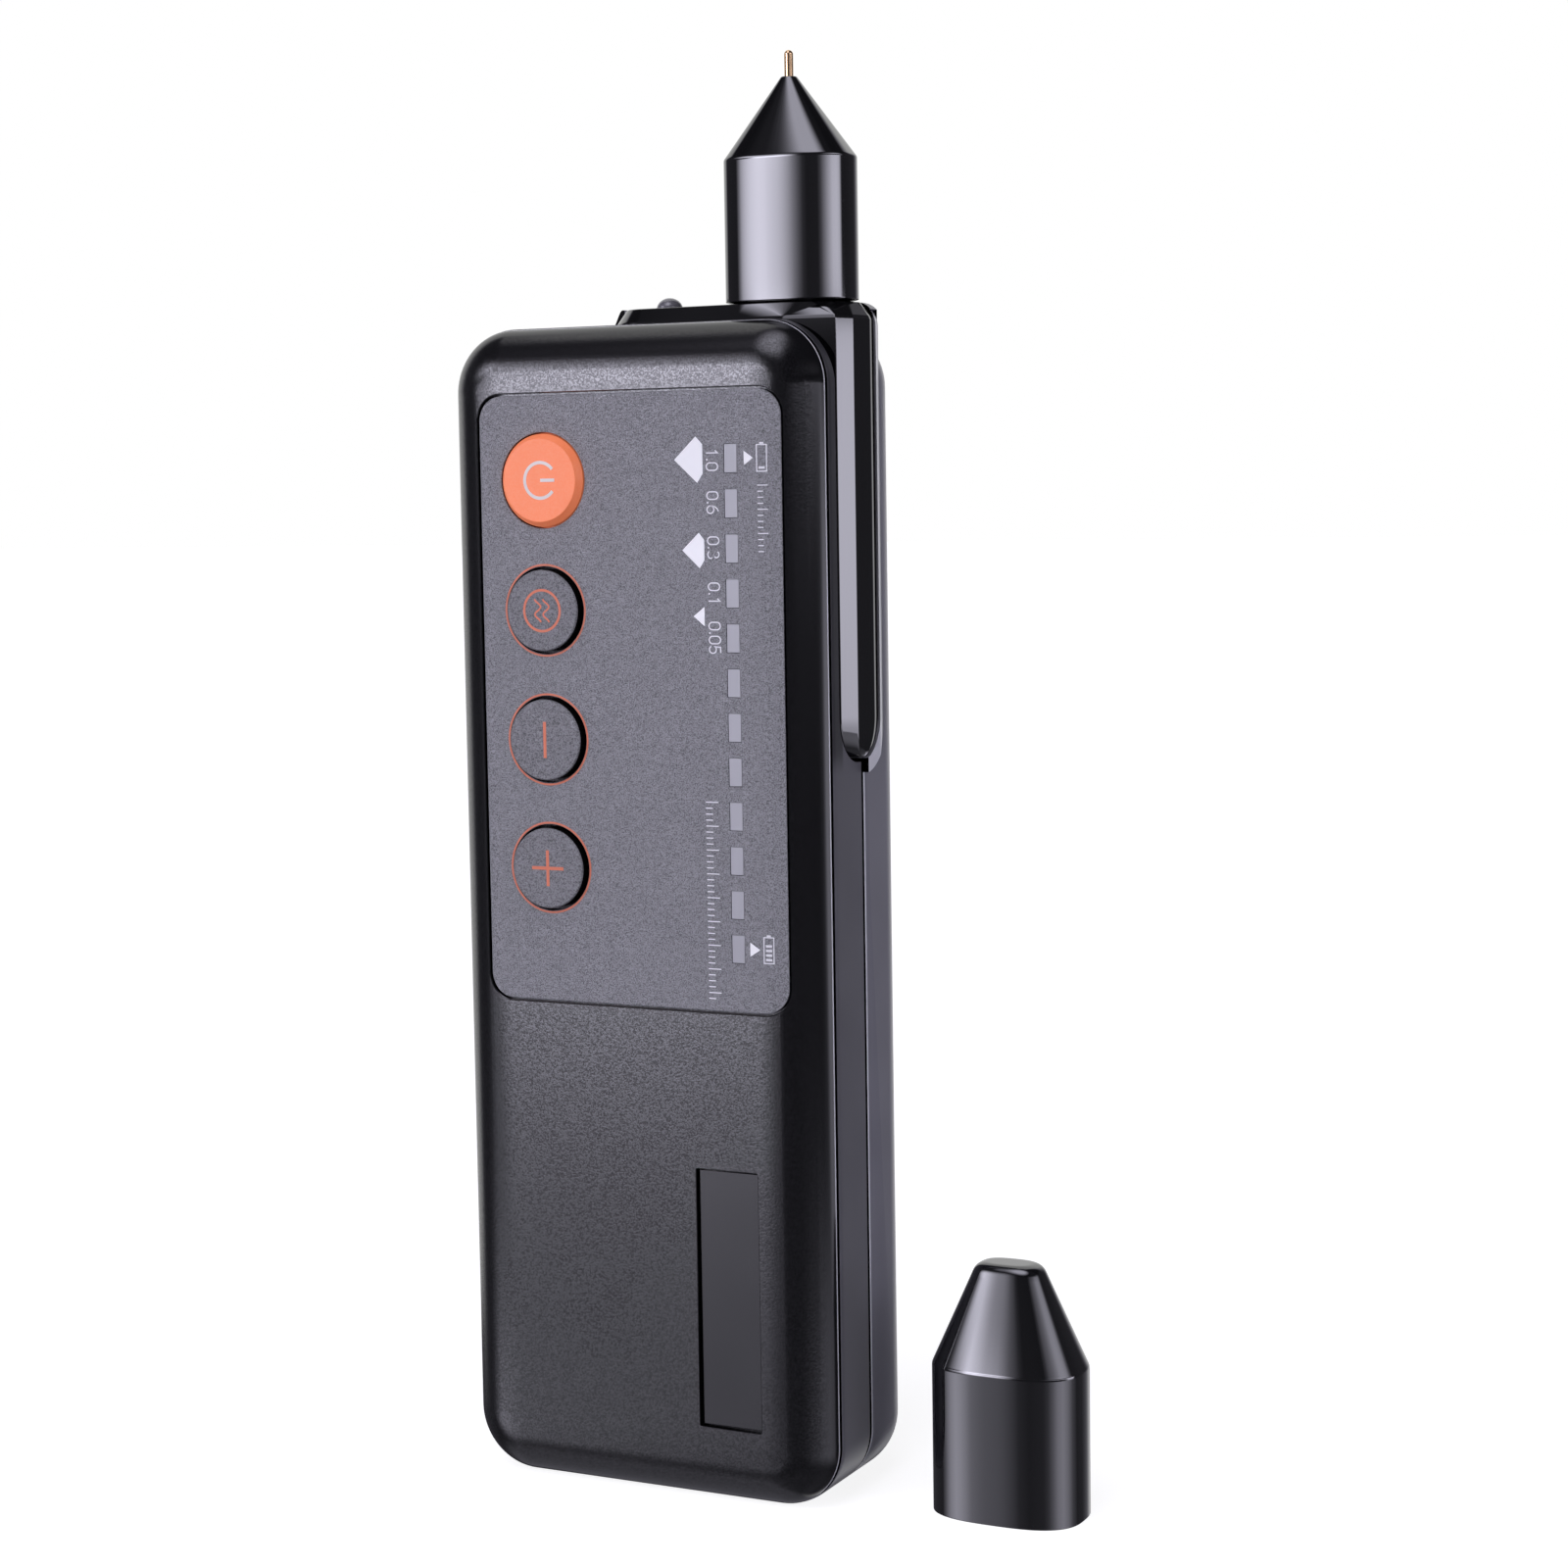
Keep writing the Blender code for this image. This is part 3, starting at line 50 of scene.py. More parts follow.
# Fits, and the fine work on edges
GAP = 0.0003
FINE_GAP = 0.00015
SEAM_EASE = 0.00006
SEAM_DEPTH = 0.0007
TOUCH = 0.00001
RIM = 0.00008
GROOVE = 0.00021
RECESS_EDGE = 0.0001
FOOT_GAP = 0.00003
OVERRUN = 0.001
SUPPORT = 0.00005
EDGE = 0.00006
WELD = 1e-7
CREASE = 32
CORNER_STEPS = 20
ROUND_STEPS = 96
FILLET_STEPS = 16
CROWN_INSET = 0.0071
CROWN_SLOPE = 0.115
CROWN_STEP = 0.00045
CROWN_END_INSET = 0.003
CROWN_CUT_DEPTH = 0.0012
CROWN_FADE_START = 0.0002
CROWN_FADE = 0.0032

# Case
CASE_WIDTH = 0.0423
CASE_HEIGHT = 0.1200
FRONT_Y = -0.01145
FRONT_COVER_DEPTH = 0.00345
FRONT_SEAM = 0.0004
MID_FRAME_DEPTH = 0.00673
REAR_COVER_DEPTH = 0.01042
CORNER_RADIUS = 0.0066
FRONT_FILLET = 0.0045
REAR_FILLET = 0.0050
WALL = 0.0016
COVER_END_Y = FRONT_Y + FRONT_COVER_DEPTH
FRAME_FRONT_Y = COVER_END_Y + FRONT_SEAM
FRAME_REAR_Y = FRAME_FRONT_Y + MID_FRAME_DEPTH
REAR_START_Y = FRAME_REAR_Y + GAP
REAR_Y = REAR_START_Y + REAR_COVER_DEPTH
INNER_FRONT_Y = FRONT_Y + WALL
INNER_REAR_Y = REAR_Y - WALL
SIDE_X = CASE_WIDTH / 2

# Case screws
SCREW_PLACES = ((-0.0166, 0.0100), (0.0166, 0.0100), (0.0166, 0.0680), (-0.0166, 0.1090))
SCREW_RADIUS = 0.0010
SCREW_LENGTH = 0.0120
SCREW_HEAD_RADIUS = 0.0021
SCREW_HEAD_HEIGHT = 0.0014
SCREW_HEAD_CLEARANCE = 0.0004
SCREW_CROSS_WIDTH = 0.0006
SCREW_CROSS_LENGTH = 0.0024
SCREW_CROSS_CORNER = 0.0004
SCREW_CROSS_DEPTH = 0.0008
SCREW_SEAT_Y = REAR_Y - 0.0035
SCREW_TIP_CLEARANCE = 0.0008
POST_RADIUS = 0.0022
BOSS_RADIUS = 0.0032

# Overlay panel, as left, right, bottom and top, and the space in which the walls of its holes are painted black as
# shade
PANEL_BOX = (-0.01676, 0.01760, 0.05117, 0.11305)
PANEL_CORNER = 0.0026
PANEL_FACE_Y = FRONT_Y + 0.00012
PANEL_REAR_Y = PANEL_FACE_Y + 0.0005
PAINTED_SHADE_HALF_WIDTH = 0.0181
PAINTED_SHADE_HALF_HEIGHT = 0.057

# Buttons
BUTTON_X = -0.00929
BUTTON_PLACES = {"power": 0.10446, "mode": 0.09128, "minus": 0.07810, "plus": 0.06492}
BUTTON_RADIUS = 0.00415
POWER_RADIUS = 0.0047
POWER_FACE_RADIUS = 0.00420
BUTTON_FACE_Y = FRONT_Y - 0.0006
BUTTON_RIM = 0.00012
SIGN_WIDTH = 0.00034
SIGN_REACH = 0.00185
RING_RADIUS = BUTTON_RADIUS + GAP + EDGE + 0.00011
RING_WIDTH = 0.00020
POWER_ARC_RADIUS = 0.00180
MODE_RING_RADIUS = 0.00208
MODE_RING_WIDTH = 0.00026
WAVE_SIZE = (0.00034, 0.00118)
WAVE_OFFSET = 0.00048
WAVE_WIDTH = 0.00018
BUTTON_FLANGE_WIDTH = 0.00085
BUTTON_FLANGE_FRONT_Y = INNER_FRONT_Y + GAP
BUTTON_FLANGE_REAR_Y = BUTTON_FLANGE_FRONT_Y + 0.0006

# Signal windows
WINDOW_X = 0.01214
WINDOW_PLACES = [0.10628 - 0.004432 * index for index in range(12)]
WINDOW_WIDTH = 0.00145
WINDOW_HEIGHT = 0.00285
WINDOW_CORNER = 0.00008
GUIDE_BAR_THICKNESS = 0.0008
GUIDE_BAR_OVERHANG = 0.0010

# Name plate
PLATE_BOX = (0.0071, 0.0137, 0.0084, 0.0347)
PLATE_FACE_Y = FRONT_Y + 0.0005
PLATE_REAR_Y = PLATE_FACE_Y + 0.0003

# Probe holder
HOLDER_Y = -0.0015
HOLDER_HALF_DEPTH = 0.0042
HOLDER_LEFT_X = -0.0052
HOLDER_RIGHT_X = 0.0225
HOLDER_CROWN = 0.0032
HOLDER_TOP_Z = 0.12168
HOLDER_CHAMFER_WIDTH = 0.0011
HOLDER_CHAMFER_HEIGHT = 0.0014
HOLDER_SLAB_BOTTOM_Z = 0.1166
HOLDER_FLANGE_REACH = 0.0011
HOLDER_FLANGE_THICKNESS = 0.0013
HOLDER_FLANGE_RIGHT_X = 0.0155
HOLDER_FLANGE_CORNER = 0.0011
BAND_PLAY = 0.00025
TONGUE_TIP_Z = 0.0762
TONGUE_TIP_RISE = 0.0004
TONGUE_THICKNESS = 0.0038
CROWN_POWER = 3.2

# Facets at the right end of the probe holder, from the front face to the back one
HOLDER_FACETS = (
    (0.0153, -0.0057), (0.0207, -0.0048), (0.02163, -0.00262), (0.02208, 0.0003), (0.0220, 0.0009),
    (0.0206, 0.0023), (0.0176, 0.0027),
)
FACETS_START_X = 0.0100
FACET_CORNER = 0.00012
CHAMFER_FACETS = (HOLDER_FACETS[0], (0.0205, -0.0049), *HOLDER_FACETS[2:])
CHAMFER_CORNERS = (0.0030, 0.0014, 0.0009, 0.00025, 0.00025, 0.0005, 0.0008)
HOLDER_LIP_WIDTH = 0.00012
HOLDER_LIP_HEIGHT = 0.00033
HOLDER_STEEP_WIDTH = 0.00035
HOLDER_TOP_INSET = 0.0010
CHAMFER_RETURN_X = HOLDER_FACETS[1][0] - 0.0006
CHAMFER_RETURN = 0.0035

# Collar of the rear cover
COLLAR_WIDTH = 0.0014
COLLAR_RISE = 0.0006
COLLAR_TOP_Z = 0.1219
COLLAR_RAMP_WIDTH = 0.0013
COLLAR_CORNER = 0.0025
COLLAR_EDGE_Y = 0.00240
# Where the collar's face beyond the case's side gets a painted highlight
COLLAR_PAINTED_HIGHLIGHT_X = (SIDE_X + 0.0001, SIDE_X + 0.0003)
COLLAR_PAINTED_HIGHLIGHT_Y = (0.0030, 0.0048)

# Painted shade: a darker strip of the mid frame beside the tongue
PAINTED_SHADE_STRIP_X = (0.0, 0.001)
PAINTED_SHADE_STRIP_Y = (-0.0056, -0.0052)
PAINTED_SHADE_STRIP_Z = (0.0745, 0.0775)

# Probe
PROBE_X = 0.01440
OVAL_POWER = 2.8
OVAL_STEPS = 192
NOSE_HALF_WIDTH = 0.00678
NOSE_HALF_DEPTH = 0.0042
NOSE_SEAT_Z = HOLDER_TOP_Z + GAP
NOSE_SKIRT_Z = HOLDER_TOP_Z + 0.00026
NOSE_SHOULDER_Z = 0.13606
NOSE_TOP_Z = 0.1441
NOSE_TOP_RADIUS = 0.0008
NOSE_SPIGOT_RADIUS = 0.0025
NOSE_SPIGOT_BOTTOM_Z = 0.1160
NOSE_BORE_RADIUS = 0.0018
NOSE_BORE_TOP_Z = 0.1385
NEEDLE_RADIUS = 0.00045
NEEDLE_TOP_Z = 0.14675
NEEDLE_COLLAR_RADIUS = 0.0015
NEEDLE_COLLAR_TOP_Z = 0.1382
NEEDLE_COLLAR_BOTTOM_Z = 0.1372
NEEDLE_TAIL_RADIUS = 0.0005
NEEDLE_TAIL_Z = 0.1260

# Lamp
LAMP_X = 0.00045
LAMP_RADIUS = 0.00135
LAMP_DOME_HEIGHT = 0.00117
LAMP_FOOT_RADIUS = 0.00162
LAMP_FOOT_RISE = 0.00012
LAMP_FLANGE_RADIUS = 0.0018
LAMP_FLANGE_TOP_Z = 0.1165
LAMP_FLANGE_BOTTOM_Z = 0.1156

# Charging socket's opening in the mid frame
SOCKET_BOX = (-0.0135, -0.0045, -0.0057, -0.0025)
SOCKET_CORNER = 0.0016

# Cap
CAP_X = 0.03655
CAP_Y = -0.0005
CAP_WALL = 0.00075
CAP_HALF_WIDTH = 0.00789
CAP_HALF_DEPTH = 0.00531
CAP_SHOULDER_Z = 0.01524
CAP_HEIGHT = 0.0256
CAP_TOP_HALF_WIDTH = 0.0033
CAP_TOP_HALF_DEPTH = 0.0020
CAP_ROOF = 0.00055

# Printed marks, in millimetres across and up the panel
PRINT_HEIGHT = 0.00002
GEMS = (
    ((5.88, 106.22), (8.30, 108.50), (9.04, 107.70), (9.04, 104.84), (8.42, 103.92)),
    ((6.62, 97.27), (8.49, 99.00), (9.08, 98.29), (9.08, 96.29), (8.53, 95.50)),
    ((7.76, 90.73), (8.99, 91.66), (8.99, 89.74)),
)
POINTERS = (
    ((13.62, 106.98), (14.62, 106.28), (13.62, 105.58)),
    ((13.46, 58.27), (14.56, 57.57), (13.46, 56.86)),
)
# Rows of ticks: foot and head, first and last height, and count. Batteries: left, right, top, bottom, bars
TICK_ROWS = ((8.75, 10.15, 72.2, 52.4, 34), (15.05, 16.15, 103.6, 97.1, 12))
TICK_WIDTH = 0.10
TICK_GROUP = 4
TICK_SHORT = 0.55
BATTERIES = ((15.02, 16.08, 107.55, 104.95, 1), (14.98, 16.04, 58.85, 56.25, 4))
NUMERALS = {"1.0": 107.25, "0.6": 103.02, "0.3": 98.58, "0.1": 94.03, "0.05": 90.14}
NUMERAL_FOOT = 9.46
NUMERAL_HEIGHT = 1.26
NUMERAL_WIDTH = 0.74
NUMERAL_SPACE = 0.24
NUMERAL_STROKE = 0.125


# Shapes


@contextmanager
def edited(mesh):
    """The mesh opened to bmesh's tools, and written back at the end."""
    bm = bmesh.new()
    bm.from_mesh(mesh)
    yield bm
    bm.to_mesh(mesh)
    bm.free()


def skin(name, stations, loop=False):
    """Closed mesh over rings of equal count: quads join each ring to the next, and a flat face closes
    each end. A loop joins the last ring to the first instead. Doubles merge, and the faces point out."""
    stations = np.asarray(stations, float)
    rows, count = stations.shape[:2]
    index = np.arange(rows * count).reshape(rows, count)
    upper = index if loop else index[:-1]
    lower = np.roll(index, -1, axis=0) if loop else index[1:]
    quads = np.stack([upper, np.roll(upper, -1, 1), np.roll(lower, -1, 1), lower], axis=2)
    faces = quads.reshape(-1, 4).tolist()
    if not loop:
        faces += [index[0].tolist(), index[-1].tolist()]
    mesh = bpy.data.meshes.new(name)
    mesh.from_pydata(stations.reshape(-1, 3), [], faces)
    with edited(mesh) as bm:
        bmesh.ops.remove_doubles(bm, verts=bm.verts, dist=WELD)
        bmesh.ops.recalc_face_normals(bm, faces=bm.faces)
    return mesh


def soften(stations, reach, steps=4):
    """Rounds a path's inner stations. Each becomes a quadratic curve, (1-t)^2 A + 2t(1-t) B + t^2 C,
    between the points A and C that lie at the given reach before and after it, and one more point
    beyond A and C keeps what follows straight. A reach of 0 keeps a station as it is."""
    stations = np.asarray(stations, float)
    reaches = np.broadcast_to(reach, len(stations) - 2)
    made = [stations[0]]
    for index, size in enumerate(reaches, start=1):
        corner = stations[index]
        if size == 0:
            made.append(corner)
            continue
        before = stations[index - 1] - corner
        after = stations[index + 1] - corner
        share_before = size / np.linalg.norm(before, axis=-1).mean()
        share_after = size / np.linalg.norm(after, axis=-1).mean()
        start = corner + before * share_before
        stop = corner + after * share_after
        made.append(corner + before * share_before * 1.5)
        for t in np.linspace(0, 1, steps + 1):
            made.append((1 - t) ** 2 * start + 2 * t * (1 - t) * corner + t**2 * stop)
        made.append(corner + after * share_after * 1.5)
    return np.array([*made, stations[-1]])


def compass(turns):
    """The directions at these angles: (cos, sin)."""
    return np.stack([np.cos(turns), np.sin(turns)], axis=1)


def swing(start, stop, count):
    """Angles in radians from one number of degrees to another."""
    return np.radians(np.linspace(start, stop, count))


def bulge(wave, power):
    """What turns a circle's cosine or sine into a superellipse's: |wave|^(2/power), with its sign."""
    return np.sign(wave) * np.abs(wave) ** (2 / power)


def rounded(box, radius, steps=CORNER_STEPS, grow=0.0):
    """Outline and outward normals of a rectangle (left, right, bottom, top), grown on every side, with
    round corners: a quarter circle about each corner's centre."""
    left, right, bottom, top = np.add(box, (-grow, grow, -grow, grow)) + (radius, -radius, radius, -radius)
    turns = np.radians(np.concatenate([np.linspace(0, 90, steps + 1) + 90 * quarter for quarter in range(4)]))
    across = np.repeat((right, left, left, right), steps + 1)
    along = np.repeat((top, top, bottom, bottom), steps + 1)
    normals = compass(turns)
    return np.stack([across, along], axis=1) + radius * normals, normals


def circle(centre, radius, steps=ROUND_STEPS):
    """Outline and outward normals of a circle: centre + radius (cos, sin)."""
    normals = compass(np.linspace(0, 2 * pi, steps, endpoint=False))
    return np.array(centre) + radius * normals, normals


def carried(outline, profile, plane="front"):
    """Stations of a profile carried round an outline: each (inset, depth) step draws the outline in
    along its normals by the inset, and sets it at that depth across the plane."""
    points, normals = outline
    profile = np.asarray(profile, float)
    flat = points[None] - profile[:, 0, None, None] * normals[None]
    across, along = flat[..., 0], flat[..., 1]
    depth = np.broadcast_to(profile[:, 1, None], across.shape)
    return np.stack([across, depth, along] if plane == "front" else [across, along, depth], axis=2)


def lathed(name, centre, profile, plane="front", steps=ROUND_STEPS):
    """A turned body: each (radius, depth) step of the profile is a circle about the centre."""
    profile = np.asarray(profile, float)
    reach = profile[:, 0].max()
    steps_in = np.stack([reach - profile[:, 0], profile[:, 1]], axis=1)
    return skin(name, carried(circle(centre, reach, steps), steps_in, plane))


def oval(centre, half_width, half_depth, height, power=OVAL_POWER):
    """A ring on a superellipse: half width times |cos|^(2/power), half depth times |sin|^(2/power)."""
    turns = np.linspace(0, 2 * pi, OVAL_STEPS, endpoint=False)
    across = bulge(np.cos(turns), power)
    along = bulge(np.sin(turns), power)
    ring = np.stack([half_width * across, half_depth * along, np.full(OVAL_STEPS, height)], axis=1)
    return ring + (*centre, 0)


def prism(name, outline, near, far, plane="front"):
    """A straight body whose section is the outline, from one depth across the plane to another."""
    outline = np.asarray(outline, float)
    return skin(name, carried((outline, 0 * outline), ((0, near), (0, far)), plane))


def box(name, low, high):
    """A plain block between two corners, for a cutter or an inner part."""
    outline = ((low[0], low[1]), (high[0], low[1]), (high[0], high[1]), (low[0], high[1]))
    return prism(name, outline, low[2], high[2], "plan")


def opening(name, outline, face_y, far, lip=EDGE):
    """A cutter for a hole or a recess whose mouth has a fine chamfer."""
    steps = ((-lip - OVERRUN, face_y - OVERRUN), (-lip, face_y), (0, face_y + lip), (0, far))
    return skin(name, carried(outline, steps))


def tile(name, outline, face_y, far, edge=EDGE):
    """A flat body whose front edge has a fine chamfer."""
    return skin(name, carried(outline, ((edge, face_y), (0, face_y + edge), (0, far))))


def screw_rods(radius, near, far):
    """A round rod along the depth of the case at each of its screws."""
    return [lathed("rod", place, ((radius, near), (radius, far)), steps=48) for place in SCREW_PLACES]


def merged(name, meshes):
    """One mesh that holds several separate closed meshes."""
    whole = bpy.data.meshes.new(name)
    with edited(whole) as bm:
        for mesh in meshes:
            bm.from_mesh(mesh)
            bpy.data.meshes.remove(mesh)
    return whole


def carve(mesh, operation, *helpers):
    """The mesh with its helpers cut out of it (DIFFERENCE), joined to it (UNION) or shared with it
    (INTERSECT)."""
    name = mesh.name
    holders = []
    for part in (mesh, merged(f"{name}_helpers", helpers)):
        holders.append(bpy.data.objects.new(part.name, part))
        bpy.context.scene.collection.objects.link(holders[-1])
    boolean = holders[0].modifiers.new("carve", "BOOLEAN")
    boolean.operation = operation
    boolean.solver = "EXACT"
    boolean.object = holders[1]
    graph = bpy.context.evaluated_depsgraph_get()
    made = bpy.data.meshes.new_from_object(holders[0].evaluated_get(graph))
    for holder in holders:
        bpy.data.objects.remove(holder, do_unlink=True)
    bpy.data.meshes.remove(mesh)
    made.name = name
    return made


# Nodes of the finishes


class Wire:
    """A value that one node hands to the next. Sums, products and steps of it make nodes too."""

    def __init__(self, node, key=0):
        self.socket = node.outputs[key]
        self.tree = node.id_data

    def calc(self, operation, *others):
        values = dict(enumerate((self, *others)))
        return Wire(add(self.tree, "ShaderNodeMath", values, operation=operation))

    def __add__(self, other):
        return self.calc("ADD", other)

    def __sub__(self, other):
        return self.calc("SUBTRACT", other)

    def __mul__(self, other):
        return self.calc("MULTIPLY", other)

    def __abs__(self):
        return self.calc("ABSOLUTE")

    def ease(self, start, stop, low=0.0, high=1.0):
        """A smooth step: low before start, high after stop."""
        inputs = {"Value": self, "From Min": start, "From Max": stop, "To Min": low, "To Max": high}
        return Wire(add(self.tree, "ShaderNodeMapRange", inputs, interpolation_type="SMOOTHSTEP"))

    def parts(self):
        """Its parts along x, y and z."""
        node = add(self.tree, "ShaderNodeSeparateXYZ", {0: self})
        return [Wire(node, key) for key in range(3)]


def feed(node, inputs):
    """Gives a node its inputs, as wires or as values."""
    for key, value in inputs.items():
        socket = node.inputs[key]
        if isinstance(value, Wire):
            node.id_data.links.new(value.socket, socket)
        else:
            socket.default_value = (*value, 1.0) if socket.type == "RGBA" else value


def add(tree, kind, inputs=(), **settings):
    """A node of this kind, with its settings and its inputs."""
    made = tree.nodes.new(kind)
    for name, value in settings.items():
        setattr(made, name, value)
    feed(made, dict(inputs))
    return made


def blended(share, first, second):
    """A colour between two others."""
    return Wire(add(share.tree, "ShaderNodeMix", {0: share, 6: first, 7: second}, data_type="RGBA"), 2)


def coordinates(tree, kind):
    return Wire(add(tree, "ShaderNodeTexCoord"), kind)


def new_finish(roughness, ior=1.5, metallic=0.0):
    """A material, its shader, and the place on the piece that its patterns read."""
    material = bpy.data.materials.new("finish")
    material.use_nodes = True
    shader = material.node_tree.nodes["Principled BSDF"]
    feed(shader, {"Roughness": roughness, "IOR": ior, "Metallic": metallic})
    return material, shader, coordinates(material.node_tree, "Object")


def noise(place, size, detail=2.0, rough=0.6, stretch=None):
    """Noise whose features have this size in metres, stretched along the axes where asked."""
    if stretch:
        scale = tuple(1 / factor for factor in stretch)
        place = Wire(add(place.tree, "ShaderNodeMapping", {"Vector": place, "Scale": scale}))
    inputs = {"Vector": place, "Scale": 1 / size, "Detail": detail, "Roughness": rough}
    return Wire(add(place.tree, "ShaderNodeTexNoise", inputs))


def bump(height, strength, distance):
    """The surface's normal with this height laid on it."""
    inputs = {"Height": height, "Strength": strength, "Distance": distance}
    return Wire(add(height.tree, "ShaderNodeBump", inputs))


def painted_highlight_line(place, colour, edge, painted_light_tone=0.80):
    """The colour with a painted highlight: a light line where the depth lies between the two ends of an edge."""
    middle = (edge[0] + edge[1]) / 2
    half = (edge[1] - edge[0]) / 2
    apart = abs(place.parts()[1] - middle)
    return blended(apart.ease(half * 0.7, half, 1.0, 0.0), colour, (painted_light_tone, painted_light_tone, painted_light_tone * 1.04))


def grained(
    dark, light, roughness, ior, grain=0.00020, depth=0.00003, strength=0.45, fade=None, walls=False, edge=None,
    shine=0.0,
):
    """Matt plastic with a fine grain. Two noises, one at the grain's size and one twice as large, vary
    the colour, the roughness and the height. Where a fade is given, the grain dies away as the surface
    turns from the front, and as painted shade the gloss is turned down on the side fillets and almost
    off at the top right corner. The shine is how much the grain varies the gloss. The walls of recesses
    and holes can be painted matt black as shade, and an edge can carry a painted highlight, a light line."""
    material, shader, place = new_finish(roughness, ior)
    fine = noise(place, grain, rough=0.7)
    coarse = noise(place, grain * 2, stretch=(1.6, 1.0, 0.9))
    spread = (fine * 0.8 + coarse * 0.2).ease(0.34, 0.66)
    side, back, up = coordinates(place.tree, "Normal").parts()
    facing = back * -1.0
    if fade:
        spread = (spread - 0.5) * facing.ease(*fade) + 0.5
    colour = blended(spread, dark, light)
    gloss = spread.ease(0.0, 1.0, 0.5 - shine, 0.5 + shine)
    if fade:
        # Painted shade: the gloss turned down on the side fillets and almost off at the top right corner
        gloss = gloss * abs(side).ease(0.10, 0.90, 1.0, 0.6)
        corner = side.ease(0.25, 0.5) * up.ease(-0.01, 0.05)
        gloss = gloss * corner.ease(0.0, 1.0, 1.0, 0.10)
    # Painted highlight: a light line along the edge
    if edge:
        colour = painted_highlight_line(place, colour, edge)
    # Painted shade: inside the panel's space, walls that turn from the front are black and almost without gloss
    if walls:
        x, _, z = place.parts()
        inside = abs(x).calc("LESS_THAN", PAINTED_SHADE_HALF_WIDTH)
        inside = inside * abs(z - CASE_HEIGHT / 2).calc("LESS_THAN", PAINTED_SHADE_HALF_HEIGHT)
        painted_wall_shade = inside * facing.ease(0.35, 0.55, 1.0, 0.0)
        colour = blended(painted_wall_shade, colour, (0.002, 0.002, 0.002))
        gloss = gloss * painted_wall_shade.ease(0.0, 1.0, 1.0, 0.03)
    feed(shader, {
        "Base Color": colour,
        "Roughness": spread.ease(0.0, 1.0, roughness + 0.05, roughness - 0.05),
        "Specular IOR Level": gloss,
        "Normal": bump(spread, strength, depth),
    })
    return material


def smooth_plastic(colour, roughness, ior=1.5, strength=0.12, seam=False, edge=None, shade=None):
    """Smooth plastic: a faint cloud in its colour, a slight unevenness of its polish, and a very low
    orange-peel surface. The faces that look to the front inside a seam can be painted black as shade,
    and an edge can carry a painted highlight, with another painted highlight on the collar's face beyond
    the case's side. The shade is a depth from which the surface is painted black as shade up to the
    seam behind it, with a darker strip of painted shade beside the tongue."""
    material, shader, place = new_finish(roughness, ior)
    cloud = noise(place, 0.008, detail=0.0)
    x, y, z = place.parts()
    mixed = blended(cloud.ease(0.1, 0.9), tuple(part * 0.93 for part in colour), tuple(part * 1.07 for part in colour))
    # Painted highlight: a light line along the edge
    if edge:
        mixed = painted_highlight_line(place, mixed, edge)
        # Painted highlight on the collar's face beyond the case's side
        beyond = x.ease(*COLLAR_PAINTED_HIGHLIGHT_X) * y.ease(*COLLAR_PAINTED_HIGHLIGHT_Y, 1, 0)
        mixed = blended(beyond * 0.85, mixed, (0.90, 0.90, 0.93))
    # Painted shade: the faces that look to the front inside a seam are black, with little gloss
    if seam:
        painted_seam_shade = (coordinates(place.tree, "Normal").parts()[1] * -1.0).ease(0.85, 0.95)
        # Painted shade: black from this depth up to the seam behind it, and a darker strip beside the tongue
        if shade:
            painted_seam_shade = painted_seam_shade.calc("MAXIMUM", y.ease(shade, shade + 0.00004))
            beside = y.ease(*PAINTED_SHADE_STRIP_Y, 1, 0) * z.ease(*PAINTED_SHADE_STRIP_Z) * x.ease(*PAINTED_SHADE_STRIP_X, 0.0, 0.75)
            mixed = blended(beside, mixed, (0.01, 0.01, 0.011))
        mixed = blended(painted_seam_shade, mixed, (0.001, 0.001, 0.001))
        feed(shader, {"Specular IOR Level": painted_seam_shade.ease(0.0, 1.0, 0.5, 0.02)})
    feed(shader, {
        "Base Color": mixed,
        "Roughness": cloud.ease(0.1, 0.9, roughness * 0.93, roughness * 1.07),
        "Normal": bump(noise(place, 0.0012, detail=0.0), strength, 0.000004),
    })
    return material


def metal(dark, light, roughness, stretch=None, size=0.0003):
    """Metal whose fine drawn or turned lines vary its colour, polish and height."""
    material, shader, place = new_finish(roughness, metallic=1.0)
    lines = noise(place, size, detail=3.0, stretch=stretch)
    feed(shader, {
        "Base Color": blended(lines.ease(0.3, 0.7), dark, light),
        "Roughness": lines.ease(0.3, 0.7, roughness * 0.8, roughness * 1.2),
        "Normal": bump(lines, 0.15, size * 0.02),
    })
    return material


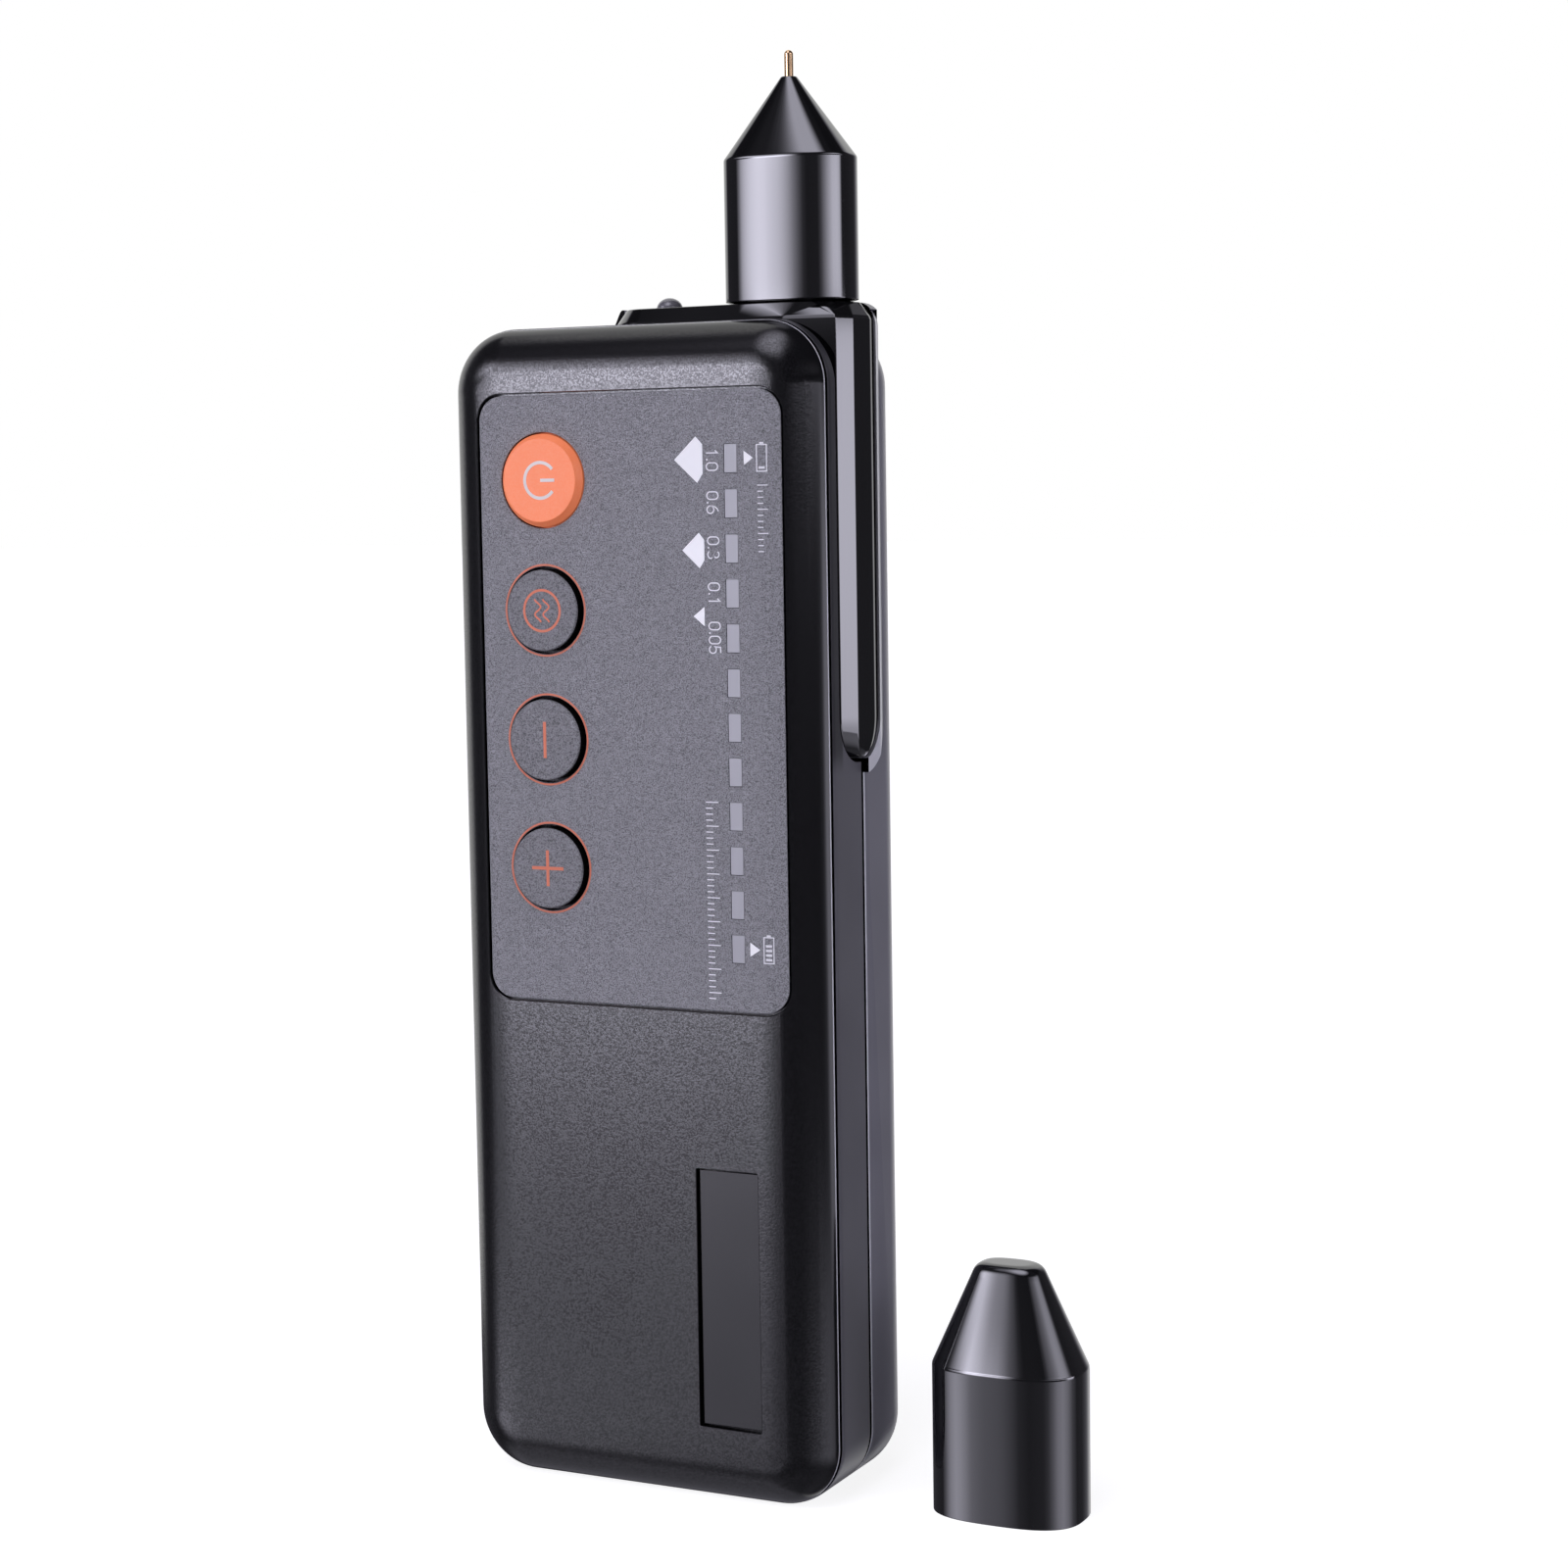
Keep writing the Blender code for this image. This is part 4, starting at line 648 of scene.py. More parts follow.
REAR_EDGE_Y = REAR_START_Y + SEAM_EASE
# The panel and the buttons take painted black shade on their walls that turn from the front
PANEL_GRAIN = {"grain": 0.00013, "strength": 0.8, "walls": True, "shine": 0.1}
FINISHES = {
    # Painted highlight along the front cover's rim, painted shade on the walls of its recesses and holes, and its
    # gloss turned down on the fillets as painted shade
    "grained_charcoal": grained(
        (0.0045, 0.0045, 0.0050), (0.0120, 0.0120, 0.0130), 0.15, 1.6, grain=0.00018, strength=0.14,
        fade=(0.55, 0.97), walls=True, shine=0.15, edge=(COVER_END_Y - 0.00022, COVER_END_Y + TOUCH),
    ),
    "panel_grey": grained((0.080, 0.080, 0.084), (0.370, 0.370, 0.387), 0.30, 1.6, **PANEL_GRAIN),
    "button_grey": grained((0.065, 0.065, 0.068), (0.300, 0.300, 0.314), 0.30, 1.6, **PANEL_GRAIN),
    "orange": grained((0.95, 0.235, 0.080), (0.98, 0.265, 0.100), 0.42, 1.5, strength=0.15),
    # Painted black shade inside the seams and up to the rear seam, and a darker painted strip beside the tongue
    "smooth_charcoal": smooth_plastic(
        (0.138, 0.136, 0.152), 0.30, strength=0.02, seam=True, shade=FRAME_REAR_Y - 0.00026,
    ),
    # Painted highlight along the rear cover's front edge, and painted black shade inside the seam
    "rear_charcoal": smooth_plastic(
        (0.225, 0.222, 0.250), 0.30, strength=0.02, seam=True, edge=(REAR_EDGE_Y - TOUCH, REAR_EDGE_Y + 0.00020),
    ),
    "smooth_dark": smooth_plastic((0.008, 0.008, 0.0086), 0.20, ior=1.55, strength=0.03),
    "gloss_black": smooth_plastic((0.0022, 0.0022, 0.0027), 0.055, ior=2.0, strength=0.02),
    "window_grey": smooth_plastic((0.400, 0.400, 0.424), 0.30),
    "smoked_lens": smooth_plastic((0.150, 0.146, 0.160), 0.16, ior=1.7, strength=0.03),
    "copper": metal((0.70, 0.46, 0.25), (0.78, 0.54, 0.32), 0.18, stretch=(1.0, 1.0, 8.0), size=0.0006),
    "steel": metal((0.42, 0.42, 0.44), (0.58, 0.58, 0.60), 0.34),
    "cell_silver": metal((0.48, 0.48, 0.51), (0.62, 0.62, 0.65), 0.40, size=0.002),
    "white_print": smooth_plastic((0.95, 0.95, 0.97), 0.45),
    "grey_print": smooth_plastic((0.90, 0.90, 0.92), 0.45),
    "orange_print": smooth_plastic((0.78, 0.21, 0.105), 0.45),
    "pale_print": smooth_plastic((0.95, 0.88, 0.82), 0.45),
    "board_green": grained((0.014, 0.085, 0.040), (0.026, 0.115, 0.060), 0.40, 1.5, grain=0.0006),
    "led_white": smooth_plastic((0.75, 0.73, 0.60), 0.40),
    "foam": grained((0.035, 0.035, 0.035), (0.085, 0.085, 0.085), 0.90, 1.4, grain=0.0005, strength=0.8),
    "lead_red": smooth_plastic((0.45, 0.03, 0.03), 0.45),
}
for name, material in FINISHES.items():
    material.name = name
# Painted light: the orange and the white print glow a little, though neither is a lamp
for name, painted_light_tone, strength in (("orange", (1.0, 0.26, 0.12), 0.25), ("white_print", (1.0, 1.0, 1.0), 0.14)):
    shader = FINISHES[name].node_tree.nodes["Principled BSDF"]
    feed(shader, {"Emission Color": painted_light_tone, "Emission Strength": strength})


def piece(mesh, finish, *nodes, body="tester", slot=None):
    """A visible piece with its mesh's name, which rides on its body and takes the place of the named
    nodes. The slot is not used."""
    slot = slot or finish
    mesh.shade_smooth()
    mesh.set_sharp_from_angle(angle=radians(CREASE))
    mesh.materials.clear()
    mesh.materials.append(FINISHES[finish])
    made = bpy.data.objects.new(mesh.name, mesh)
    bpy.context.scene.collection.objects.link(made)
    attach(made, body)
    if nodes:
        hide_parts(*nodes)


# Case

CASE_OUTLINE = rounded((-SIDE_X, SIDE_X, 0, CASE_HEIGHT), CORNER_RADIUS)


def fillet(face_y, into, radius, inset, start, stop, steps=FILLET_STEPS):
    """Steps of a quarter round between a face and a side, from one angle to another in degrees: the
    inset is radius less (radius - inset) sin t, and the depth is the centre less (radius - inset) cos t."""
    turns = swing(start, stop, steps + 1)
    arm = radius - inset
    return np.stack([radius - arm * np.sin(turns), face_y + into * (radius - arm * np.cos(turns))], axis=1)


def reach_angle(depth, inset=0.0):
    """The angle at which the front fillet comes to this depth behind its outer face."""
    return np.degrees(acos((FRONT_FILLET - depth) / (FRONT_FILLET - inset)))


def crowned(mesh, cuts=True):
    """The mesh with the front's slight crown: near the case's edges the surface falls back by
    slope / reach * lead^2 / 2 over the reach before the fillet, and by the full slope from there on.
    The fall dies away from 0.2 to 3.4 mm behind the face. Cuts give it vertices to bend at."""
    reach = CROWN_INSET - FRONT_FILLET
    count = round((CROWN_INSET - CROWN_END_INSET) / CROWN_STEP) + 1
    with edited(mesh) as bm:
        for step in range(count if cuts else 0):
            across = SIDE_X - CROWN_INSET + step * CROWN_STEP
            top = CASE_HEIGHT - CROWN_INSET + step * CROWN_STEP
            for place, normal in (
                ((across, 0, 0), (1, 0, 0)), ((-across, 0, 0), (-1, 0, 0)),
                ((0, 0, top), (0, 0, 1)), ((0, 0, CASE_HEIGHT - top), (0, 0, -1)),
            ):
                near = [face for face in bm.faces if face.calc_center_median().y < FRONT_Y + CROWN_CUT_DEPTH]
                edges = {edge for face in near for edge in face.edges}
                verts = {vert for face in near for vert in face.verts}
                geometry = [*near, *edges, *verts]
                bmesh.ops.bisect_plane(bm, geom=geometry, dist=WELD, plane_co=place, plane_no=normal)
    places = np.empty(len(mesh.vertices) * 3)
    mesh.vertices.foreach_get("co", places)
    places = places.reshape(-1, 3)
    corner = np.array((SIDE_X - CROWN_INSET, CASE_HEIGHT / 2 - CROWN_INSET))
    beyond = np.maximum(np.abs(places[:, ::2] - (0, CASE_HEIGHT / 2)) - corner, 0)
    lead = np.linalg.norm(beyond, axis=1)
    curved = np.minimum(lead, reach)
    fall = CROWN_SLOPE * (curved**2 / reach / 2 + lead - curved)
    depth = np.clip((places[:, 1] - FRONT_Y - CROWN_FADE_START) / CROWN_FADE, 0, 1)
    places[:, 1] += fall * (1 - depth**2 * (3 - 2 * depth))
    mesh.vertices.foreach_set("co", places.ravel())
    mesh.update()
    return mesh


def window(height, grow=0.0):
    """Outline of the signal window at this height."""
    half = (WINDOW_WIDTH / 2, WINDOW_HEIGHT / 2)
    sides = (WINDOW_X - half[0], WINDOW_X + half[0], height - half[1], height + half[1])
    return rounded(sides, WINDOW_CORNER, 3, grow)


def panel_holes(far):
    """Cutters for the buttons, with a fine chamfer at the panel's face, and for the signal windows."""
    made = []
    for name, height in BUTTON_PLACES.items():
        radius = POWER_RADIUS + FINE_GAP if name == "power" else BUTTON_RADIUS + GAP
        made.append(opening(f"{name}_hole", circle((BUTTON_X, height), radius), PANEL_FACE_Y, far))
    for height in WINDOW_PLACES:
        made.append(prism("window_hole", window(height, SUPPORT / 2)[0], PANEL_FACE_Y - OVERRUN, far))
    return made


def front_cover():
    """The shell, then its posts, its recesses, and last the holes through it."""
    depth = FRONT_COVER_DEPTH
    outer = fillet(FRONT_Y, 1, FRONT_FILLET, 0, 0, reach_angle(depth - RIM))
    inner = fillet(FRONT_Y, 1, FRONT_FILLET, WALL, reach_angle(depth, WALL), 0)
    edge = outer[-1][0] + RIM / 8
    profile = [
        (FRONT_FILLET + SUPPORT, FRONT_Y), *outer, (edge, COVER_END_Y - EDGE), (edge + EDGE, COVER_END_Y),
        *inner, (FRONT_FILLET + SUPPORT, INNER_FRONT_Y),
    ]
    shell = skin("front_cover_shell", carried(CASE_OUTLINE, profile))
    shell = carve(shell, "UNION", *screw_rods(POST_RADIUS, INNER_FRONT_Y - EDGE, FRAME_REAR_Y))
    outline = rounded(PANEL_BOX, PANEL_CORNER + GROOVE, grow=GROOVE)
    recess = opening("panel_recess", outline, FRONT_Y, PANEL_REAR_Y + FINE_GAP, RECESS_EDGE)
    outline = rounded(PLATE_BOX, GROOVE, 4, GROOVE)
    shell = carve(shell, "DIFFERENCE", recess, opening("plate_recess", outline, FRONT_Y, PLATE_REAR_Y + FINE_GAP))
    tip = SCREW_SEAT_Y + GAP - SCREW_LENGTH - SCREW_TIP_CLEARANCE
    pilots = screw_rods(SCREW_RADIUS + GAP, tip, FRAME_REAR_Y + OVERRUN)
    shell = carve(shell, "DIFFERENCE", *panel_holes(INNER_FRONT_Y + OVERRUN), *pilots)
    piece(crowned(shell), "grained_charcoal", "front_cover")


def overlay_panel():
    sheet = tile("overlay_sheet", rounded(PANEL_BOX, PANEL_CORNER), PANEL_FACE_Y, PANEL_REAR_Y)
    sheet = carve(sheet, "DIFFERENCE", *panel_holes(PANEL_REAR_Y + OVERRUN))
    piece(crowned(sheet), "panel_grey", "overlay_panel")


def name_plate():
    plate = tile("blank_plate", rounded(PLATE_BOX, EDGE, 3), PLATE_FACE_Y, PLATE_REAR_Y, EDGE / 2)
    piece(plate, "smooth_dark", "name_plate")


def light_guide():
    """A bar behind the cover with a tooth in each window, flush with the panel."""
    bar_front = INNER_FRONT_Y + GAP
    reach = WINDOW_HEIGHT / 2 + GUIDE_BAR_OVERHANG
    low = (WINDOW_X - WINDOW_WIDTH / 2, bar_front, WINDOW_PLACES[-1] - reach)
    high = (WINDOW_X + WINDOW_WIDTH / 2, bar_front + GUIDE_BAR_THICKNESS, WINDOW_PLACES[0] + reach)
    teeth = [tile("tooth", window(height), PANEL_FACE_Y, bar_front + EDGE) for height in WINDOW_PLACES]
    piece(carve(box("window_comb", low, high), "UNION", *teeth), "window_grey", "light_guide")


def holder_space(name, grow):
    """The holder's form grown on every side, as a cutter, from the tongue's tip to above the top.

    The left end is a half circle and the right end a crown on a superellipse. A drop is how far the
    round tip has closed in: both the half depth and the rise beyond the side follow its cosine, and the
    height follows its sine.
    """
    full = HOLDER_HALF_DEPTH + grow
    drops = swing(84, 0, 19)
    heights = np.append(TONGUE_TIP_Z + HOLDER_HALF_DEPTH - full * np.sin(drops), HOLDER_TOP_Z + OVERRUN)
    shares = np.append(np.cos(drops), 1.0)[:, None]
    turns = swing(90, 270, 49)
    left_x = HOLDER_LEFT_X + HOLDER_HALF_DEPTH + full * np.cos(turns)
    left_y = HOLDER_Y + shares * full * np.sin(turns)
    tip_x = SIDE_X + TONGUE_TIP_RISE
    right_x = tip_x + (HOLDER_RIGHT_X - tip_x) * shares + grow
    turns = swing(-90, 90, 97)
    start = HOLDER_RIGHT_X - HOLDER_CROWN
    crown_x = start + (right_x - start) * bulge(np.cos(turns), CROWN_POWER)
    crown_y = HOLDER_Y + shares * full * bulge(np.sin(turns), CROWN_POWER)
    xs = np.concatenate([np.broadcast_to(left_x, (len(heights), len(left_x))), crown_x], axis=1)
    ys = np.concatenate([left_y, crown_y], axis=1)
    return skin(name, np.stack([xs, ys, np.broadcast_to(heights[:, None], xs.shape)], axis=2))


def mid_frame():
    """The band, with a lip inside each seam that reaches the cover beyond it."""
    depth = FRAME_FRONT_Y - FRONT_Y
    outer = fillet(FRONT_Y, 1, FRONT_FILLET, 0, reach_angle(depth + EDGE), 90, 5)
    inner = fillet(FRONT_Y, 1, FRONT_FILLET, WALL, 90, reach_angle(depth, WALL), 6)
    rear = FRAME_REAR_Y - SEAM_EASE
    far = REAR_START_Y + SEAM_EASE - TOUCH
    lip = outer[0][0] + SEAM_DEPTH
    profile = [
        (outer[0][0] + EDGE, FRAME_FRONT_Y), *outer, (0, outer[-1][1] + SUPPORT),
        (0, rear - EDGE), (EDGE, rear), (SEAM_DEPTH, rear), (SEAM_DEPTH, far), (WALL, far), *inner,
        (inner[-1][0], COVER_END_Y + TOUCH), (lip, COVER_END_Y + TOUCH), (lip, FRAME_FRONT_Y),
    ]
    band = skin("middle_band", carried(CASE_OUTLINE, profile), loop=True)
    port = prism("port", rounded(SOCKET_BOX, SOCKET_CORNER, 12, GAP)[0], -OVERRUN, WALL + OVERRUN, "plan")
    band = carve(band, "DIFFERENCE", holder_space("band_space", GAP + BAND_PLAY), port)
    piece(band, "smooth_charcoal", "mid_frame")


def collar():
    """The collar round the rear half of the holder: a front outline with a soft ramp at its left end
    and a round corner at its right, shared with the holder's plan grown by its reach. Beside the tongue
    its face leans back to the case's side."""
    reach = GAP + COLLAR_WIDTH
    foot = HOLDER_LEFT_X - reach
    right = SIDE_X + COLLAR_RISE
    bottom = TONGUE_TIP_Z - CORNER_RADIUS
    share = np.linspace(0, 1, 17)
    climb = (COLLAR_TOP_Z - CASE_HEIGHT) * share**2 * (3 - 2 * share)
    ramp = np.stack([foot + COLLAR_RAMP_WIDTH * share, CASE_HEIGHT + climb], axis=1)
    corner = arc((right - COLLAR_CORNER, COLLAR_TOP_Z - COLLAR_CORNER), COLLAR_CORNER, 90, 0, 16)
    outline = np.concatenate([[(right, bottom), (foot, bottom)], ramp, corner])
    far = HOLDER_Y + HOLDER_HALF_DEPTH + reach + OVERRUN
    mesh = prism("collar", outline, REAR_START_Y, far)
    mesh = carve(mesh, "INTERSECT", holder_space("collar_reach", reach))
    slope = COLLAR_RISE / (far - OVERRUN - COLLAR_EDGE_Y)
    with edited(mesh) as bm:
        geometry = [*bm.verts, *bm.edges, *bm.faces]
        bmesh.ops.bisect_plane(bm, geom=geometry, dist=WELD, plane_co=(0, COLLAR_EDGE_Y, 0), plane_no=(0, 1, 0))
        for vert in bm.verts:
            if vert.co.x > SIDE_X and vert.co.y > COLLAR_EDGE_Y:
                vert.co.x -= (vert.co.y - COLLAR_EDGE_Y) * slope
    return mesh


def rear_cover():
    """The shell with its screw bosses and its collar, then the holder's space and the screws' seats."""
    outer = fillet(REAR_Y, -1, REAR_FILLET, 0, 90, 0)
    inner = fillet(REAR_Y, -1, REAR_FILLET, WALL, 0, 90)
    start = REAR_START_Y + SEAM_EASE
    profile = [
        (REAR_FILLET + SUPPORT, INNER_REAR_Y), *inner, (WALL, start), (EDGE, start),
        (0, start + EDGE * 2), (0, outer[0][1] - SUPPORT), *outer, (REAR_FILLET + SUPPORT, REAR_Y),
    ]
    shell = skin("rear_cover_shell", carried(CASE_OUTLINE, profile))
    shell = carve(shell, "UNION", *screw_rods(BOSS_RADIUS, start + EDGE, INNER_REAR_Y + EDGE))
    shell = carve(shell, "UNION", collar())
    shell = carve(shell, "DIFFERENCE", holder_space("rear_space", GAP))
    radius = SCREW_HEAD_RADIUS + SCREW_HEAD_CLEARANCE
    mouth = radius + EDGE * 2
    seat = ((radius, SCREW_SEAT_Y), (radius, REAR_Y - EDGE * 2), (mouth, REAR_Y), (mouth + OVERRUN, REAR_Y + OVERRUN))
    shell = carve(shell, "DIFFERENCE", *[lathed("seat", place, seat) for place in SCREW_PLACES])
    holes = screw_rods(SCREW_RADIUS + GAP, REAR_START_Y - OVERRUN, SCREW_SEAT_Y + OVERRUN)
    piece(carve(shell, "DIFFERENCE", *holes), "rear_charcoal", "rear_cover", slot="smooth_charcoal")


def crossed(arm):
    """The corners of one arm of a cross, repeated at each quarter turn."""
    quarter = np.array(((0, 1), (-1, 0)))
    return np.concatenate([np.array(arm) @ np.linalg.matrix_power(quarter, turn) for turn in range(4)])


def case_screws():
    """Pan-head screws: a domed head with a cross recess, over a plain shank with a pointed end."""
    seat = SCREW_SEAT_Y + GAP
    top = seat + SCREW_HEAD_HEIGHT
    path = [
        (SCREW_HEAD_RADIUS * 0.45, top),
        (SCREW_HEAD_RADIUS * 0.86, top - SCREW_HEAD_HEIGHT * 0.16),
        (SCREW_HEAD_RADIUS, top - SCREW_HEAD_HEIGHT * 0.55),
        (SCREW_HEAD_RADIUS, seat),
        (SCREW_RADIUS, seat),
        (SCREW_RADIUS, seat + SCREW_RADIUS - SCREW_LENGTH),
        (SCREW_RADIUS / 10, seat - SCREW_LENGTH),
    ]
    profile = soften(path, (0.0003, 0.0002, 0.0001, 0.0001, 0))
    arm = SCREW_CROSS_LENGTH / 2
    half = SCREW_CROSS_WIDTH / 2
    cross = crossed(((arm, -half), (arm, half), (SCREW_CROSS_CORNER, SCREW_CROSS_CORNER)))
    for index, place in enumerate(SCREW_PLACES):
        screw = lathed(f"pan_screw_{index + 1}", place, profile, steps=64)
        recess = prism("cross", cross + place, top - SCREW_CROSS_DEPTH, top + OVERRUN)
        piece(carve(screw, "DIFFERENCE", recess), "steel", f"case_screw_{index + 1}")


# Probe and lamp


def facet_ring(inset, share, height, facets=HOLDER_FACETS, corner=FACET_CORNER):
    """A ring of the visible holder: a half circle at the left, and at the right its facets, each moved
    in by the inset, with slightly rounded corners. A share below 1 closes the round tip in."""
    half = HOLDER_HALF_DEPTH - inset
    left = np.array((HOLDER_LEFT_X + HOLDER_HALF_DEPTH, HOLDER_Y)) + half * compass(swing(90, 270, 49))
    corners = np.array(facets)
    path = np.concatenate([[(0, corners[0][1])], corners, [(0, corners[-1][1])]])
    spans = np.diff(path, axis=0)
    spans /= np.linalg.norm(spans, axis=1)[:, None]
    sides = np.stack([spans[:, 1], -spans[:, 0]], axis=1)
    mean = sides[:-1] + sides[1:]
    mean /= (mean * sides[1:]).sum(axis=1)[:, None]
    ends = ((FACETS_START_X, HOLDER_Y - half), (FACETS_START_X, HOLDER_Y + half))
    right = soften([ends[0], *(corners - mean * inset), ends[1]], corner, 8)
    start = facets[0][0]
    peak = max(across for across, _ in facets)
    tip = SIDE_X + TONGUE_TIP_RISE
    shrink = (tip + (peak - tip) * share - start) / (peak - start)
    right[:, 0] += np.maximum(right[:, 0] - start, 0) * (shrink - 1)
    ring = np.concatenate([left, right])
    ring[:, 1] = HOLDER_Y + (ring[:, 1] - HOLDER_Y) * share
    return np.column_stack([ring, np.full(len(ring), height)])


def top_ring(inset):
    """The holder's top edge, whose chamfer narrows in front from the left end on, and widens again at
    the right corner."""
    wide, narrow = [
        facet_ring(width + inset, 1, HOLDER_TOP_Z, CHAMFER_FACETS, CHAMFER_CORNERS)
        for width in (HOLDER_CHAMFER_WIDTH, HOLDER_STEEP_WIDTH)
    ]
    left = HOLDER_LEFT_X + HOLDER_HALF_DEPTH
    share = np.clip((wide[:, :1] - left) / (HOLDER_FACETS[0][0] - left), 0, 1)
    share *= np.clip((HOLDER_Y - wide[:, 1:2]) / HOLDER_HALF_DEPTH * 2, 0, 1)
    share *= np.clip((CHAMFER_RETURN_X - wide[:, :1]) / CHAMFER_RETURN, 0, 1)
    return wide + (narrow - wide) * share


def probe_holder():
    """The plate across the top of the case and the tongue down its side. A narrow lip and a chamfer go
    round the top, and their edges are slightly rounded."""
    rings = [
        facet_ring(0, cos(drop), TONGUE_TIP_Z + HOLDER_HALF_DEPTH * (1 - sin(drop))) for drop in swing(87, 0, 31)
    ]
    path = [
        rings[-1],
        facet_ring(0, 1, HOLDER_TOP_Z - HOLDER_CHAMFER_HEIGHT - HOLDER_LIP_HEIGHT),
        facet_ring(HOLDER_LIP_WIDTH, 1, HOLDER_TOP_Z - HOLDER_CHAMFER_HEIGHT),
        top_ring(0),
        top_ring(HOLDER_TOP_INSET),
    ]
    holder = skin("gloss_holder", [*rings[:-1], *soften(path, (0.00003, 0.00007, 0.00010))])
    wide = HOLDER_HALF_DEPTH + OVERRUN
    low = (HOLDER_LEFT_X - OVERRUN, HOLDER_Y - wide, TONGUE_TIP_Z - OVERRUN)
    high = (HOLDER_RIGHT_X - TONGUE_THICKNESS, HOLDER_Y + wide, HOLDER_SLAB_BOTTOM_Z)
    holder = carve(holder, "DIFFERENCE", box("below_slab", low, high))
    reach = HOLDER_HALF_DEPTH + HOLDER_FLANGE_REACH
    sides = (HOLDER_LEFT_X - HOLDER_FLANGE_REACH, HOLDER_FLANGE_RIGHT_X, HOLDER_Y - reach, HOLDER_Y + reach)
    top = CASE_HEIGHT - WALL - GAP
    flange = prism("flange", rounded(sides, HOLDER_FLANGE_CORNER, 8)[0], top - HOLDER_FLANGE_THICKNESS, top, "plan")
    holder = carve(holder, "UNION", flange)
    bores = []
    for across, radius in ((PROBE_X, NOSE_SPIGOT_RADIUS + GAP), (LAMP_X, LAMP_RADIUS + FINE_GAP)):
        profile = ((radius, HOLDER_SLAB_BOTTOM_Z - OVERRUN * 2), (radius, HOLDER_TOP_Z + OVERRUN))
        bores.append(lathed("bore", (across, HOLDER_Y), profile, "plan"))
    piece(carve(holder, "DIFFERENCE", *bores), "gloss_black", "probe_holder")


def probe_nose():
    """A flat-oval barrel under a cone. Its rings go straight from the shoulder's oval to the round tip,
    and the edges are softened."""
    centre = (PROBE_X, HOLDER_Y)
    foot = HOLDER_TOP_Z + FOOT_GAP
    bore = NEEDLE_RADIUS + FINE_GAP
    path = [
        oval(centre, NOSE_HALF_WIDTH * share, NOSE_HALF_DEPTH * share, height)
        for share, height in ((0.7, foot), (0.86, foot), (1, NOSE_SKIRT_Z), (1, NOSE_SHOULDER_Z))
    ]
    path += [oval(centre, radius, radius, NOSE_TOP_Z, power=2) for radius in (NOSE_TOP_RADIUS, bore)]
    nose = skin("gloss_nose", soften(path, (0, 0.00005, 0.00016, 0.00006)))
    profile = ((NOSE_SPIGOT_RADIUS, NOSE_SPIGOT_BOTTOM_Z), (NOSE_SPIGOT_RADIUS, NOSE_SEAT_Z + OVERRUN))
    nose = carve(nose, "UNION", lathed("spigot", centre, profile, "plan"))
    profile = (
        (bore, NOSE_TOP_Z + OVERRUN), (bore, NOSE_BORE_TOP_Z),
        (NOSE_BORE_RADIUS, NOSE_BORE_TOP_Z), (NOSE_BORE_RADIUS, NOSE_SPIGOT_BOTTOM_Z - OVERRUN),
    )
    nose = carve(nose, "DIFFERENCE", lathed("bore", centre, profile, "plan"))
    piece(nose, "gloss_black", "probe_nose")


def probe_needle():
    """The pin: a round tip, a straight shank, its collar and its tail."""
    turns = swing(4, 90, 12)
    tip = np.stack([NEEDLE_RADIUS * np.sin(turns), NEEDLE_TOP_Z - NEEDLE_RADIUS * (1 - np.cos(turns))], axis=1)
    profile = [
        *tip,
        (NEEDLE_RADIUS, NEEDLE_COLLAR_TOP_Z),
        (NEEDLE_COLLAR_RADIUS, NEEDLE_COLLAR_TOP_Z),
        (NEEDLE_COLLAR_RADIUS, NEEDLE_COLLAR_BOTTOM_Z),
        (NEEDLE_TAIL_RADIUS, NEEDLE_COLLAR_BOTTOM_Z),
        (NEEDLE_TAIL_RADIUS, NEEDLE_TAIL_Z),
    ]
    piece(lathed("pin", (PROBE_X, HOLDER_Y), profile, "plan", 64), "copper", "probe_needle", body="needle")


def lamp():
    """A dome, half an ellipse turned about its axis, over a straight stem and a flange."""
    turns = swing(3, 90, 20)
    dome = np.stack([LAMP_RADIUS * np.sin(turns), HOLDER_TOP_Z + LAMP_DOME_HEIGHT * np.cos(turns)], axis=1)
    profile = [
        *dome[dome[:, 1] > HOLDER_TOP_Z + LAMP_FOOT_RISE * 1.5],
        (LAMP_FOOT_RADIUS, HOLDER_TOP_Z + LAMP_FOOT_RISE),
        (LAMP_FOOT_RADIUS, HOLDER_TOP_Z + FOOT_GAP),
        (LAMP_RADIUS, HOLDER_TOP_Z + FOOT_GAP),
        (LAMP_RADIUS, LAMP_FLANGE_TOP_Z),
        (LAMP_FLANGE_RADIUS, LAMP_FLANGE_TOP_Z),
        (LAMP_FLANGE_RADIUS, LAMP_FLANGE_BOTTOM_Z),
    ]
    piece(lathed("lamp_dome", (LAMP_X, HOLDER_Y), profile, "plan"), "smoked_lens", "lamp")


# Buttons and printed marks


